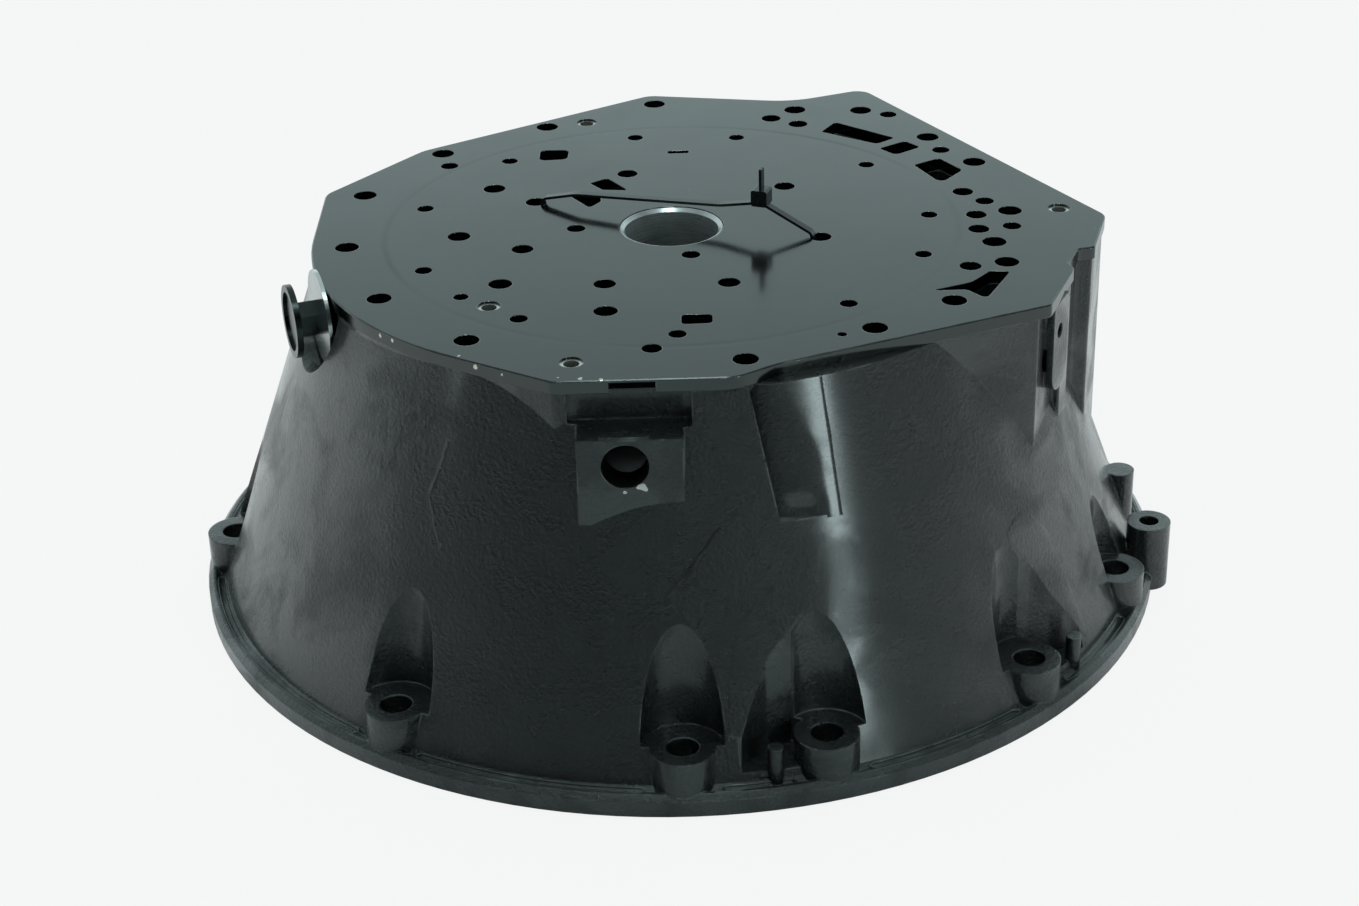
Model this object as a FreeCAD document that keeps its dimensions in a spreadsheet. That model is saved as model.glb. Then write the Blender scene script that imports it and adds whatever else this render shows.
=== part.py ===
import FreeCAD, Part
import math
import os

import Sketcher
from FreeCAD import Placement, Rotation, Vector

os.makedirs("parts", exist_ok=True)
doc = FreeCAD.newDocument("GearboxHousing")

# ---------------------------------------------------------------------------
# Driving dimensions, in millimetres and degrees.
# The shaft axis is Z. Z = 0 is the face that bolts to the engine.
# ---------------------------------------------------------------------------
SIZES = [
    # bell
    ("bolt_circle", 201.0, "radius of the circle of flange bolts"),
    ("flange_margin", 14.0, "flange outside the bolt circle"),
    ("rim_height", 9.0, "height of the flange rim"),
    ("rim_round", 2.2, "round on the top edge of the rim"),
    ("gutter_width", 5.0, "width of the gutter between rim and bell"),
    ("gutter_depth", 1.8, "depth of that gutter"),
    ("foot_margin", 5.5, "foot of the bell outside the bolt circle"),
    ("bell_top_radius", 153.3, "radius of the bell under the plate"),
    ("plate_seat", 152.8, "height of the machined seat of the plate"),
    ("wall", 7.0, "wall of the bell"),
    ("register_margin", 11.0, "register bore inside the bolt circle"),
    ("mouth_depth", 9.0, "depth of the register bore"),
    ("bulkhead", 11.8, "thickness of the bulkhead under the plate"),
    ("hub_radius", 33.0, "radius of the hub under the bulkhead"),
    ("hub_drop", 6.8, "how far the hub reaches below the bulkhead"),
    ("head_foot", 38.0, "height where the upright head walls start"),
    ("head_inset", 1.0, "how far the plate overhangs the head walls"),
    # flange bolts
    ("boss_radius", 13.0, "radius of a bolt boss"),
    ("boss_height", 23.0, "height of the bolt bosses"),
    ("bolt_hole", 13.0, "diameter of a flange bolt hole"),
    ("recess_radius", 16.5, "radius of the wrench recess above a boss"),
    ("recess_wall", 6.0, "wall between a recess and the cavity"),
    ("pillar_height", 82.0, "height of the recess walls inside the bell"),
    ("tap_recess_radius", 12.0, "radius of the narrow wrench recess"),
    ("ear_radius", 9.5, "radius of the ear outside the rim"),
    ("ear_margin", 11.0, "centre of the ear outside the bolt circle"),
    ("ear_height", 30.0, "height of the ear"),
    ("ear_hole", 8.5, "diameter of the hole in the ear"),
    ("post_radius", 3.2, "radius of the small posts beside the bosses"),
    ("post_margin", 4.5, "centres of those posts outside the bolt circle"),
    # front port
    ("port_reach", 14.7, "front port face outside the bell's top radius"),
    ("port_width", 41.0, "width of the front port boss"),
    ("port_shift", 18.0, "how far the port boss lies left of the axis"),
    ("port_drop", 12.8, "ledge on the port boss below the plate's seat"),
    ("port_height", 36.0, "height of the port boss"),
    ("port_hole", 18.5, "diameter of the port hole"),
    ("port_hole_drop", 11.2, "centre of the port hole below the ledge"),
    ("port_hole_shift", 20.0, "how far the port hole lies left of the axis"),
    ("shelf_depth", 19.0, "depth of the ledge behind the port face"),
    ("shelf_margin", 3.5, "how far the ledge pocket is wider than the boss"),
    ("lens_width", 20.0, "width of the raised lens on the ledge"),
    ("lens_depth", 5.2, "depth of that lens"),
    ("lens_height", 0.6, "height of that lens"),
    ("flute_floor", 50.3, "floor of the front flute below the plate's seat"),
    # side pad
    ("pad_azimuth", -26.0, "direction that the side pad faces"),
    ("pad_reach", 23.2, "side pad face outside the bell's top radius"),
    ("pad_width", 19.0, "width of the side pad"),
    ("pad_height", 39.8, "height of the side pad below the plate's seat"),
    ("pad_hole", 6.5, "diameter of the hole in the side pad"),
    # relieved corner at the front right
    ("relief", 3.2, "how far the head wall is relieved at its front right corner"),
    ("relief_length", 29.0, "length of that relief along the wall"),
    ("relief_hole", 11.0, "diameter of the hole in the relieved wall"),
    ("relief_hole_drop", 24.0, "centre of that hole below the plate's seat"),
    # plate
    ("plate_thickness", 5.5, "thickness of the intermediate plate"),
    ("plate_edge", 0.5, "chamfer on the plate's outer edge"),
    ("cover_hole", 10.4, "diameter of the outer bolt holes"),
    ("gallery_hole", 7.4, "diameter of the holes on the gallery circle"),
    ("gallery_circle", 112.5, "radius of the gallery circle"),
    ("pump_hole", 9.4, "diameter of the pump bolt holes"),
    ("pump_circle", 67.2, "radius of the pump bolt circle"),
    ("small_hole", 8.2, "diameter of the small oil holes"),
    ("medium_hole", 9.2, "diameter of the medium oil holes"),
    ("feed_hole", 10.0, "diameter of the feed holes"),
    ("check_hole", 6.5, "diameter of the check valve hole"),
    ("vent_hole", 4.0, "diameter of the vent hole"),
    ("blind_depth", 8.5, "depth of the holes and pockets in the seat"),
    ("feed_depth", 2.5, "depth of the shallow feed pockets"),
    ("notch_width", 18.0, "width of the notch under the plate's front edge"),
    ("notch_depth", 7.0, "depth of that notch"),
    ("notch_skin", 1.2, "plate left above the notch"),
    # bush
    ("bore", 45.5, "diameter of the central bore in the plate"),
    ("bush_fit", 0.1, "radial clearance between bush and bore"),
    ("bush_wall", 2.2, "wall of the bush"),
    ("bush_lip", 1.4, "chamfer on the lip of the bush"),
    ("bush_sink", 0.3, "how far the bush lies below the plate's top"),
    # dowels
    ("dowel", 9.6, "outer diameter of a dowel sleeve"),
    ("dowel_fit", 0.05, "radial clearance round a dowel sleeve"),
    ("dowel_bore", 6.4, "bore of a dowel sleeve"),
    ("dowel_sink", 0.8, "how far a sleeve lies below the plate's top"),
    # line fitting on the left
    ("fitting_azimuth", 199.0, "direction of the line fitting"),
    ("fitting_drop", 10.3, "line fitting below the plate's seat"),
    ("fitting_sink", 3.3, "fitting's seat inside the bell's top radius"),
    ("seat_radius", 22.5, "radius of the recess round the fitting"),
    ("washer_radius", 20.0, "radius of the sealing washer"),
    ("washer_thickness", 1.6, "thickness of the sealing washer"),
    ("washer_gap", 5.5, "collar between the seat and the washer"),
    ("stub_radius", 8.0, "radius across the stub of the fitting"),
    ("stub_length", 17.0, "length of the stub outside the seat"),
    ("cap_radius", 15.5, "radius of the end cap of the fitting"),
    ("cap_thickness", 2.6, "thickness of the end cap"),
    # cable tie
    ("strap_width", 3.6, "width of the tie strap"),
    ("strap_thickness", 1.2, "thickness of the tie strap"),
    ("tie_head", 7.2, "side of the tie's head"),
    ("tie_tail", 28.0, "height of the tail's tip above the plate"),
]

sheet = doc.addObject("Spreadsheet::Sheet", "sizes")
for row, (alias, number, note) in enumerate(SIZES, start=1):
    sheet.set("A%d" % row, note)
    sheet.set("B%d" % row, str(number))
    sheet.setAlias("B%d" % row, alias)
doc.recompute()


class Dim:
    """A size together with the sheet expression that drives it."""

    def __init__(self, value, text=None):
        self.value = float(value)
        self.text = text if text is not None else "%.9g" % value

    def joined(self, other, sign, value):
        other = as_dim(other)
        return Dim(value, "(%s %s %s)" % (self.text, sign, other.text))

    def __add__(self, other):
        return self.joined(other, "+", self.value + as_dim(other).value)

    def __sub__(self, other):
        return self.joined(other, "-", self.value - as_dim(other).value)

    def __mul__(self, other):
        return self.joined(other, "*", self.value * as_dim(other).value)

    def __neg__(self):
        return Dim(-self.value, "(0 - %s)" % self.text)


def as_dim(number):
    return number if isinstance(number, Dim) else Dim(number)


def size(alias):
    """The named size as a Dim bound to its sheet cell."""
    return Dim(float(sheet.get(alias)), "sizes." + alias)


def along(radius, degrees):
    """The x and y of a point at a distance and an angle from the shaft axis."""
    angle = math.radians(degrees)
    return radius * round(math.cos(angle), 9), radius * round(math.sin(angle), 9)


# Sizes that follow from the named ones.
plate_seat = size("plate_seat")
plate_top = plate_seat + size("plate_thickness")
bulkhead_floor = plate_seat - size("bulkhead")
hub_floor = bulkhead_floor - size("hub_drop")
flange_radius = size("bolt_circle") + size("flange_margin")
bell_foot_radius = size("bolt_circle") + size("foot_margin")
mouth_radius = size("bolt_circle") - size("register_margin")
ear_centre = size("bolt_circle") + size("ear_margin")
post_circle = size("bolt_circle") + size("post_margin")
port_face = size("bell_top_radius") + size("port_reach")
port_top = plate_seat - size("port_drop")
port_hole_height = port_top - size("port_hole_drop")
pad_face = size("bell_top_radius") + size("pad_reach")
pad_bottom = plate_seat - size("pad_height")
fitting_seat = size("bell_top_radius") - size("fitting_sink")
fitting_height = plate_seat - size("fitting_drop")


# ---------------------------------------------------------------------------
# Helpers for sketches and features
# ---------------------------------------------------------------------------
def bind(item, name, dim):
    """Set a property and bind it to the sheet."""
    setattr(item, name, as_dim(dim).value)
    item.setExpression(name, as_dim(dim).text)


def new_body(name):
    return doc.addObject("PartDesign::Body", name)


def sketch_on(body, name, role, height=0.0):
    """A sketch on one of the body's origin planes, raised by a height."""
    sketch = body.newObject("Sketcher::SketchObject", name)
    plane = [item for item in body.Origin.OriginFeatures if item.Role == role][0]
    sketch.AttachmentSupport = [(plane, "")]
    sketch.MapMode = "FlatFace"
    height = as_dim(height)
    sketch.AttachmentOffset = Placement(Vector(0, 0, height.value), Rotation())
    sketch.setExpression("AttachmentOffset.Base.z", height.text)
    return sketch


def sketch_facing(body, name, azimuth, distance, height):
    """A sketch on an upright plane that faces out along an azimuth."""
    sketch = sketch_on(body, name, "XZ_Plane")
    turn = azimuth + 90.0
    out_x = round(math.sin(math.radians(turn)), 9)
    out_z = round(math.cos(math.radians(turn)), 9)
    distance = as_dim(distance)
    height = as_dim(height)
    base = Vector(distance.value * out_x, height.value, distance.value * out_z)
    sketch.AttachmentOffset = Placement(base, Rotation(Vector(0, 1, 0), turn))
    sketch.setExpression("AttachmentOffset.Base.x", (distance * out_x).text)
    sketch.setExpression("AttachmentOffset.Base.y", height.text)
    sketch.setExpression("AttachmentOffset.Base.z", (distance * out_z).text)
    return sketch


def hold_point(sketch, index, point, x, y):
    """Hold a point of the sketch at x and y from its origin."""
    for kind, axis, dim in (("DistanceX", -2, as_dim(x)), ("DistanceY", -1, as_dim(y))):
        if abs(dim.value) < 1e-9:
            sketch.addConstraint(Sketcher.Constraint("PointOnObject", index, point, axis))
        elif dim.value > 0:
            rule = Sketcher.Constraint(kind, -1, 1, index, point, dim.value)
            number = sketch.addConstraint(rule)
            sketch.setExpression("Constraints[%d]" % number, dim.text)
        else:
            rule = Sketcher.Constraint(kind, index, point, -1, 1, -dim.value)
            number = sketch.addConstraint(rule)
            sketch.setExpression("Constraints[%d]" % number, (-dim).text)


def add_circle(sketch, x, y, diameter):
    """A circle held at x and y with a bound diameter."""
    diameter = as_dim(diameter)
    centre = Vector(as_dim(x).value, as_dim(y).value, 0)
    circle = Part.Circle(centre, Vector(0, 0, 1), diameter.value / 2)
    index = sketch.addGeometry(circle)
    number = sketch.addConstraint(Sketcher.Constraint("Diameter", index, diameter.value))
    sketch.setExpression("Constraints[%d]" % number, diameter.text)
    hold_point(sketch, index, 3, x, y)


def add_profile(sketch, points):
    """A closed profile of straight lines whose corners are all bound."""
    first = None
    count = len(points)
    for step in range(count):
        start = Vector(as_dim(points[step][0]).value, as_dim(points[step][1]).value, 0)
        nxt = points[(step + 1) % count]
        end = Vector(as_dim(nxt[0]).value, as_dim(nxt[1]).value, 0)
        index = sketch.addGeometry(Part.LineSegment(start, end))
        first = index if first is None else first
    for step in range(count):
        here = first + step
        following = first + (step + 1) % count
        sketch.addConstraint(Sketcher.Constraint("Coincident", here, 2, following, 1))
    for step in range(count):
        hold_point(sketch, first + step, 1, points[step][0], points[step][1])


def offset_corners(corners, inset):
    """Move every side of a closed outline inwards and adjust its corner rounds."""
    count = len(corners)
    area = 0.0
    for step in range(count):
        a, b = corners[step], corners[(step + 1) % count]
        area += a[0] * b[1] - b[0] * a[1]
    side = 1.0 if area > 0 else -1.0
    moved = []
    for step in range(count):
        a, b, c = corners[step - 1], corners[step], corners[(step + 1) % count]
        first = Vector(b[0] - a[0], b[1] - a[1], 0).normalize()
        second = Vector(c[0] - b[0], c[1] - b[1], 0).normalize()
        left = Vector(-first.y, first.x, 0) * side
        right = Vector(-second.y, second.x, 0) * side
        turn = (first.x * second.y - first.y * second.x) * side
        mid = (left + right) * (inset / (1.0 + left.dot(right)))
        radius = b[2] - inset if turn > 0 else b[2] + inset
        moved.append((b[0] + mid.x, b[1] + mid.y, max(radius, 0.0)))
    return moved


def add_outline(sketch, corners):
    """A closed outline from corners (x, y, round), with tangent arcs at the rounds."""
    count = len(corners)
    cuts = []
    for step in range(count):
        a, b, c = corners[step - 1], corners[step], corners[(step + 1) % count]
        back = Vector(a[0] - b[0], a[1] - b[1], 0).normalize()
        ahead = Vector(c[0] - b[0], c[1] - b[1], 0).normalize()
        corner = Vector(b[0], b[1], 0)
        half = back.getAngle(ahead) / 2
        if b[2] < 1e-6:
            cuts.append((corner, None, corner))
            continue
        reach = b[2] / math.tan(half)
        middle = (back + ahead).normalize()
        deep = b[2] / math.sin(half) - b[2]
        cuts.append((corner + back * reach, corner + middle * deep, corner + ahead * reach))
    first = sketch.GeometryCount
    for step in range(count):
        start, mid, end = cuts[step]
        if mid is not None:
            sketch.addGeometry(Part.Arc(start, mid, end))
        following = cuts[(step + 1) % count][0]
        if (following - end).Length > 1e-6:
            sketch.addGeometry(Part.LineSegment(end, following))
    for index in range(first, sketch.GeometryCount):
        sketch.addConstraint(Sketcher.Constraint("Block", index))


def add_pad(body, name, sketch, length, reverse=False):
    pad = body.newObject("PartDesign::Pad", name)
    pad.Profile = sketch
    bind(pad, "Length", length)
    pad.Reversed = reverse
    body.Tip = pad
    return pad


def add_pocket(body, name, sketch, depth, upward=False):
    """Cut a pocket and make sure that it removes material."""
    doc.recompute()
    before = body.Tip.Shape.Volume
    pocket = body.newObject("PartDesign::Pocket", name)
    pocket.Profile = sketch
    bind(pocket, "Length", depth)
    pocket.Reversed = upward
    body.Tip = pocket
    doc.recompute()
    after = pocket.Shape.Volume
    if not after < before - 1.0:
        raise RuntimeError("%s removes nothing (%.1f to %.1f)" % (name, before, after))
    return pocket


def add_revolution(body, name, sketch):
    turn = body.newObject("PartDesign::Revolution", name)
    turn.Profile = sketch
    turn.ReferenceAxis = (sketch, ["V_Axis"])
    turn.Angle = 360.0
    body.Tip = turn
    return turn


# ---------------------------------------------------------------------------
# Where things are on the plate and the flange
# ---------------------------------------------------------------------------
# Corners of the plate (x, y, round), counter-clockwise from the front notch.
FRONT_EDGE = -153.0
PLATE_CORNERS = [
    (23.0, FRONT_EDGE, 18.0),
    (40.0, -141.8, 20.0),
    (151.5, -94.2, 4.0),
    (166.3, -57.5, 3.0),
    (164.6, -52.0, 2.0),
    (171.2, -37.6, 2.5),
    (178.2, -36.0, 3.0),
    (188.5, -0.5, 7.0),
    (96.5, 171.5, 8.0),
    (60.0, 157.0, 40.0),
    (-9.5, 171.0, 10.0),
    (-116.0, 101.5, 20.0),
    (-155.5, 49.0, 10.0),
    (-154.5, -84.5, 150.0),
    (-47.0, FRONT_EDGE, 6.0),
]
# Place in that list of the corner at the front right, and of the next one.
FRONT_RIGHT = 2

# Flange bolts by angle: those on the front and their mirror images behind.
FRONT_BOLTS = [-175.0, -125.0, -90.3, -74.0, -45.4, -21.0]
BACK_BOLTS = [21.0, 45.4, 74.0, 125.0, 150.0]
WIDE_RECESSES = [-125.0, -90.3, -74.0, -45.4, 45.4, 74.0, 125.0, 150.0, -175.0]
NARROW_RECESSES = [-21.0, 21.0]
# Recesses that run on to one side of their bolt, with a small post in them.
SIDE_RECESSES = [-79.4, -39.8]
POSTS = [-80.2, -38.0]

COVER_HOLES = [
    (-6.8, 158.0),
    (-58.3, 129.5),
    (-106.0, 97.0),
    (-137.5, 46.0),
    (-139.3, -14.3),
    (-120.3, -69.8),
    (-81.8, -113.0),
    (27.3, -137.3),
    (79.3, -111.8),
    (113.3, -87.3),
    (139.3, -49.5),
    (136.8, -27.5),
    (147.8, 7.0),
    (139.3, 67.3),
    (121.5, 101.5),
    (93.0, 141.0),
    (61.3, 144.3),
]
GALLERY_ANGLES = [98.2, 73.6, 36.9, 2.5, -20.2, -51.1, -89.3, -123.5, -158.1, 165.6, 131.2]
PUMP_ANGLES = [106.8, 40.3, -69.8, -114.7, -161.3]
TIE_HOLES = [(-60.0, 32.5), (63.8, -16.8)]
SMALL_HOLES = [
    (-41.3, 0.0),
    (8.0, -32.5),
    (-101.8, 80.5),
    (-8.8, -125.3),
    (105.8, 134.0),
    (125.8, 84.0),
    (138.3, 19.0),
    (146.5, -10.5),
]
MEDIUM_HOLES = [
    (49.3, 133.0),
    (61.8, 124.3),
    (130.0, 30.8),
    (132.8, 3.5),
    (132.0, -12.8),
    (123.8, -52.8),
]
CHECK_HOLE = (-86.8, -70.5)
VENT_HOLE = (66.0, -117.0)
FEED_HOLES = [(-79.5, 50.0), (-91.8, -5.5), (-71.3, -58.3), (-27.3, -88.5)]
DOWELS = [(-39.5, 134.5), (-40.0, -135.8), (169.5, 8.5), (-74.8, -80.3)]

# Oil windows (x, y, round), cut through the plate over pockets in the seat.
WINDOWS = [
    [(72.0, 112.5, 1.5), (79.5, 125.5, 2.0), (106.0, 101.5, 1.5), (97.0, 94.0, 3.0)],
    [(97.5, 88.0, 1.5), (110.5, 97.0, 2.0), (117.0, 88.5, 2.0), (104.5, 79.0, 3.0)],
    [(111.5, 65.5, 1.5), (124.0, 73.5, 2.0), (133.0, 57.5, 4.0), (121.5, 42.0, 3.0)],
    [(104.5, -77.0, 0.6), (122.0, -69.5, 8.0), (131.0, -58.5, 2.0), (139.5, -59.5, 1.5)]
    + [(126.5, -86.5, 2.0), (119.5, -77.0, 4.0)],
    [(-36.5, 53.5, 1.0), (-28.5, 59.5, 1.5), (-19.0, 43.5, 1.0), (-30.5, 45.0, 1.5)],
    [(-45.0, 38.5, 1.0), (-31.5, 40.0, 1.0), (-31.0, 31.0, 1.5), (-36.0, 23.5, 1.5)],
    [(-60.5, 84.0, 3.0), (-60.5, 98.0, 3.0), (-47.0, 97.0, 3.0), (-47.5, 85.0, 3.0)],
    [(3.0, -103.5, 2.0), (3.0, -94.0, 2.0), (15.5, -94.5, 2.0), (15.5, -103.0, 2.0)],
    [(-1.0, 88.8, 1.3), (-1.0, 92.3, 1.3), (9.0, 92.3, 1.3), (9.0, 88.8, 1.3)],
]

# Plan of the upright flute beside the front port (x, y, round).
FLUTE = [
    (26.3, -148.5, 1.0),
    (41.0, -170.5, 0.5),
    (61.0, -170.5, 0.5),
    (58.0, -157.0, 4.0),
    (47.0, -150.0, 9.0),
    (34.0, -147.0, 4.0),
]


def hole_pattern(sketch, places, diameter):
    """One circle of the same bound diameter at each place."""
    for x, y in places:
        add_circle(sketch, x, y, diameter)


def all_seat_holes(sketch, clearance):
    """Every bolt and oil hole that plate and casting share, at a given extra size."""
    hole_pattern(sketch, COVER_HOLES, size("cover_hole") + clearance)
    gallery = [along(size("gallery_circle"), angle) for angle in GALLERY_ANGLES]
    hole_pattern(sketch, gallery, size("gallery_hole") + clearance)
    pump = [along(size("pump_circle"), angle) for angle in PUMP_ANGLES]
    hole_pattern(sketch, pump, size("pump_hole") + clearance)
    hole_pattern(sketch, SMALL_HOLES, size("small_hole") + clearance)
    hole_pattern(sketch, MEDIUM_HOLES, size("medium_hole") + clearance)
    hole_pattern(sketch, [CHECK_HOLE], size("check_hole") + clearance)
    hole_pattern(sketch, [VENT_HOLE], size("vent_hole") + clearance)


# ---------------------------------------------------------------------------
# Bell housing: the outside of the casting
# ---------------------------------------------------------------------------
bell = new_body("bell_outside")

# The bell turned about the shaft axis, with its rim and gutter.
form = sketch_on(bell, "bell_section", "XZ_Plane")
rim_top = size("rim_height")
gutter_outer = bell_foot_radius + size("gutter_width")
gutter_floor = rim_top - size("gutter_depth")
add_profile(form, [
    (0.0, 0.0),
    (flange_radius, 0.0),
    (flange_radius, rim_top - size("rim_round")),
    (flange_radius - size("rim_round"), rim_top),
    (gutter_outer, rim_top),
    (gutter_outer - size("gutter_depth"), gutter_floor),
    (bell_foot_radius + size("gutter_depth"), gutter_floor),
    (bell_foot_radius, rim_top),
    (size("bell_top_radius"), plate_seat),
    (0.0, plate_seat),
])
add_revolution(bell, "bell_form", form)

# Upright walls of the head, which follow the plate where it reaches past the bell.
# At the front right corner they stand further back for a stretch.
head_corners = offset_corners(PLATE_CORNERS, size("head_inset").value)
before, corner, after = [
    Vector(*head_corners[FRONT_RIGHT + step][:2], 0) for step in (-1, 0, 1)]
front_way = (corner - before).normalize()
side_way = (after - corner).normalize()
relief_out = Vector(side_way.y, -side_way.x, 0)
relief = size("relief").value
relief_start = corner - front_way * (relief / relief_out.dot(front_way))
relief_end = relief_start + side_way * size("relief_length").value
relief_step = relief_end + relief_out * relief
head_corners[FRONT_RIGHT:FRONT_RIGHT + 1] = [
    (relief_start.x, relief_start.y, 1.5),
    (relief_end.x, relief_end.y, 1.0),
    (relief_step.x, relief_step.y, 1.0),
]
head = sketch_on(bell, "head_outline", "XY_Plane", size("head_foot"))
add_outline(head, head_corners)
add_pad(bell, "head_walls", head, plate_seat - size("head_foot"))

# Bolt bosses, the ear outside the rim and a lug above it.
bosses = sketch_on(bell, "boss_circles", "XY_Plane")
boss_places = [along(size("bolt_circle"), angle) for angle in FRONT_BOLTS + BACK_BOLTS]
hole_pattern(bosses, boss_places, size("boss_radius") * 2)
add_pad(bell, "bolt_bosses", bosses, size("boss_height"))

ear = sketch_on(bell, "ear_circle", "XY_Plane")
hole_pattern(ear, [along(ear_centre, -12.0)], size("ear_radius") * 2)
add_pad(bell, "flange_ear", ear, size("ear_height"))

# Wrench recesses above the bosses, cut upright through the sloping wall.
doc.recompute()
wide = sketch_on(bell, "recess_circles", "XY_Plane", size("boss_height"))
wide_places = [along(size("bolt_circle"), angle) for angle in WIDE_RECESSES]
hole_pattern(wide, wide_places, size("recess_radius") * 2)
narrow_places = [along(size("bolt_circle"), angle) for angle in NARROW_RECESSES]
hole_pattern(wide, narrow_places, size("tap_recess_radius") * 2)
add_pocket(bell, "wrench_recesses", wide, plate_seat - size("boss_height") + 1, upward=True)

beside = sketch_on(bell, "side_recess_circles", "XY_Plane", size("rim_height") + 3)
side_places = [along(size("bolt_circle"), angle) for angle in SIDE_RECESSES]
hole_pattern(beside, side_places, size("recess_radius") * 2)
add_pocket(bell, "side_recesses", beside, plate_seat - size("rim_height"), upward=True)

# The bosses beside those wider recesses, put back to their full height.
again = sketch_on(bell, "boss_circles_again", "XY_Plane")
both = [along(size("bolt_circle"), angle) for angle in (-74.0, -45.4)]
hole_pattern(again, both, size("boss_radius") * 2)
add_pad(bell, "side_bosses", again, size("boss_height"))

posts = sketch_on(bell, "post_circles", "XY_Plane")
post_places = [along(post_circle, angle) for angle in POSTS]
hole_pattern(posts, post_places, size("post_radius") * 2)
add_pad(bell, "locating_posts", posts, size("boss_height"))

lug = sketch_on(bell, "lug_circle", "XY_Plane", size("rim_height"))
hole_pattern(lug, [along(size("bolt_circle") - 2, -5.0)], size("post_radius") * 4)
add_pad(bell, "side_lug", lug, size("boss_height") + 10)

# Front port: an upright boss, the ledge above it and the pocket under the plate.
port = sketch_on(bell, "port_outline", "XY_Plane", port_top - size("port_height"))
port_left = -(size("port_shift") + size("port_width") * 0.5)
port_right = size("port_width") * 0.5 - size("port_shift")
port_front = -port_face
port_back = size("shelf_depth") - port_face
add_profile(port, [
    (port_left, port_front),
    (port_right, port_front),
    (port_right, port_back + 20),
    (port_left, port_back + 20),
])
add_pad(bell, "port_boss", port, size("port_height"))
shelf = sketch_on(bell, "shelf_outline", "XY_Plane", port_top)
add_profile(shelf, [
    (port_left - size("shelf_margin"), port_front - 5),
    (port_right + size("shelf_margin"), port_front - 5),
    (port_right + size("shelf_margin"), port_back),
    (port_left - size("shelf_margin"), port_back),
])
add_pocket(bell, "port_shelf", shelf, plate_seat - port_top + 1, upward=True)
lens = sketch_on(bell, "lens_outline", "XY_Plane", port_top)
lens_half = size("lens_width") * 0.5
lens_front = port_front + 1.2
lens_right = lens_half - size("port_hole_shift")
lens_left = -(lens_half + size("port_hole_shift"))
lens_corners = [
    (lens_left, lens_front),
    (lens_right, lens_front),
    (lens_right, lens_front + size("lens_depth")),
    (lens_left, lens_front + size("lens_depth")),
]
add_outline(lens, [(x.value, y.value, 2.4) for x, y in lens_corners])
add_pad(bell, "port_lens", lens, size("lens_height"))
access = sketch_facing(bell, "port_hole_circle", -90.0, port_face + 10, 0.0)
add_circle(access, -size("port_hole_shift"), port_hole_height, size("port_hole"))
add_pocket(bell, "port_hole_cut", access, size("shelf_depth") + 30)

# Flute beside the port, an upright recess with a flat floor.
flute = sketch_on(bell, "flute_outline", "XY_Plane", plate_seat - size("flute_floor"))
add_outline(flute, FLUTE)
add_pocket(bell, "front_flute", flute, size("flute_floor") + 1, upward=True)

# Side pad under the plate's right-hand bay, round at its lower end.
PAD_DEPTH = 22.0
pad_azimuth = size("pad_azimuth").value
side = sketch_facing(bell, "pad_outline", pad_azimuth, pad_face - PAD_DEPTH, pad_bottom)
half_pad = size("pad_width").value / 2
pad_round = half_pad - 0.2
add_outline(side, [
    (-half_pad, 0.0, pad_round),
    (half_pad, 0.0, pad_round),
    (half_pad, size("pad_height").value, 0.0),
    (-half_pad, size("pad_height").value, 0.0),
])
add_pad(bell, "side_pad", side, PAD_DEPTH)

# Round recess for the line fitting on the left.
round_seat = sketch_facing(
    bell, "fitting_seat_circle", size("fitting_azimuth").value,
    fitting_seat + 40, fitting_height)
add_circle(round_seat, 0.0, 0.0, size("seat_radius") * 2)
add_pocket(bell, "fitting_recess", round_seat, 40.0)

# Holes and pockets in the seat under the plate.
seat_holes = sketch_on(bell, "seat_hole_circles", "XY_Plane", plate_seat)
all_seat_holes(seat_holes, -1.0)
add_pocket(bell, "seat_holes", seat_holes, size("blind_depth"))
seat_windows = sketch_on(bell, "seat_window_outlines", "XY_Plane", plate_seat)
for window in WINDOWS:
    add_outline(seat_windows, window)
add_pocket(bell, "seat_pockets", seat_windows, size("blind_depth"))
feeds = sketch_on(bell, "feed_circles", "XY_Plane", plate_seat)
hole_pattern(feeds, FEED_HOLES, size("feed_hole") - 0.6)
add_pocket(bell, "feed_pockets", feeds, size("feed_depth"))
dowel_seats = sketch_on(bell, "dowel_seat_circles", "XY_Plane", plate_seat)
hole_pattern(dowel_seats, DOWELS, size("dowel") + size("dowel_fit") * 2)
add_pocket(bell, "dowel_seats", dowel_seats, size("blind_depth"))
throughs = sketch_on(bell, "tie_hole_circles", "XY_Plane", plate_seat)
hole_pattern(throughs, TIE_HOLES, size("pump_hole"))
add_pocket(bell, "tie_holes", throughs, size("bulkhead") + 1)
centre = sketch_on(bell, "centre_circle", "XY_Plane", plate_seat)
add_circle(centre, 0.0, 0.0, size("bore"))
add_pocket(bell, "centre_bore", centre, size("bulkhead") + size("hub_drop") + 1)
bolt_holes = sketch_on(bell, "bolt_hole_circles", "XY_Plane")
hole_pattern(bolt_holes, boss_places, size("bolt_hole"))
add_pocket(bell, "flange_holes", bolt_holes, size("boss_height") + 1, upward=True)
ear_holes = sketch_on(bell, "ear_hole_circle", "XY_Plane")
hole_pattern(ear_holes, [along(ear_centre, -12.0)], size("ear_hole"))
add_pocket(bell, "ear_hole_cut", ear_holes, size("ear_height") + 1, upward=True)
pad_bolt = sketch_facing(bell, "pad_hole_circle", pad_azimuth, pad_face + 5, plate_seat - 13)
add_circle(pad_bolt, -1.5, 0.0, size("pad_hole"))
add_pocket(bell, "pad_hole_cut", pad_bolt, 17.0)

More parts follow.
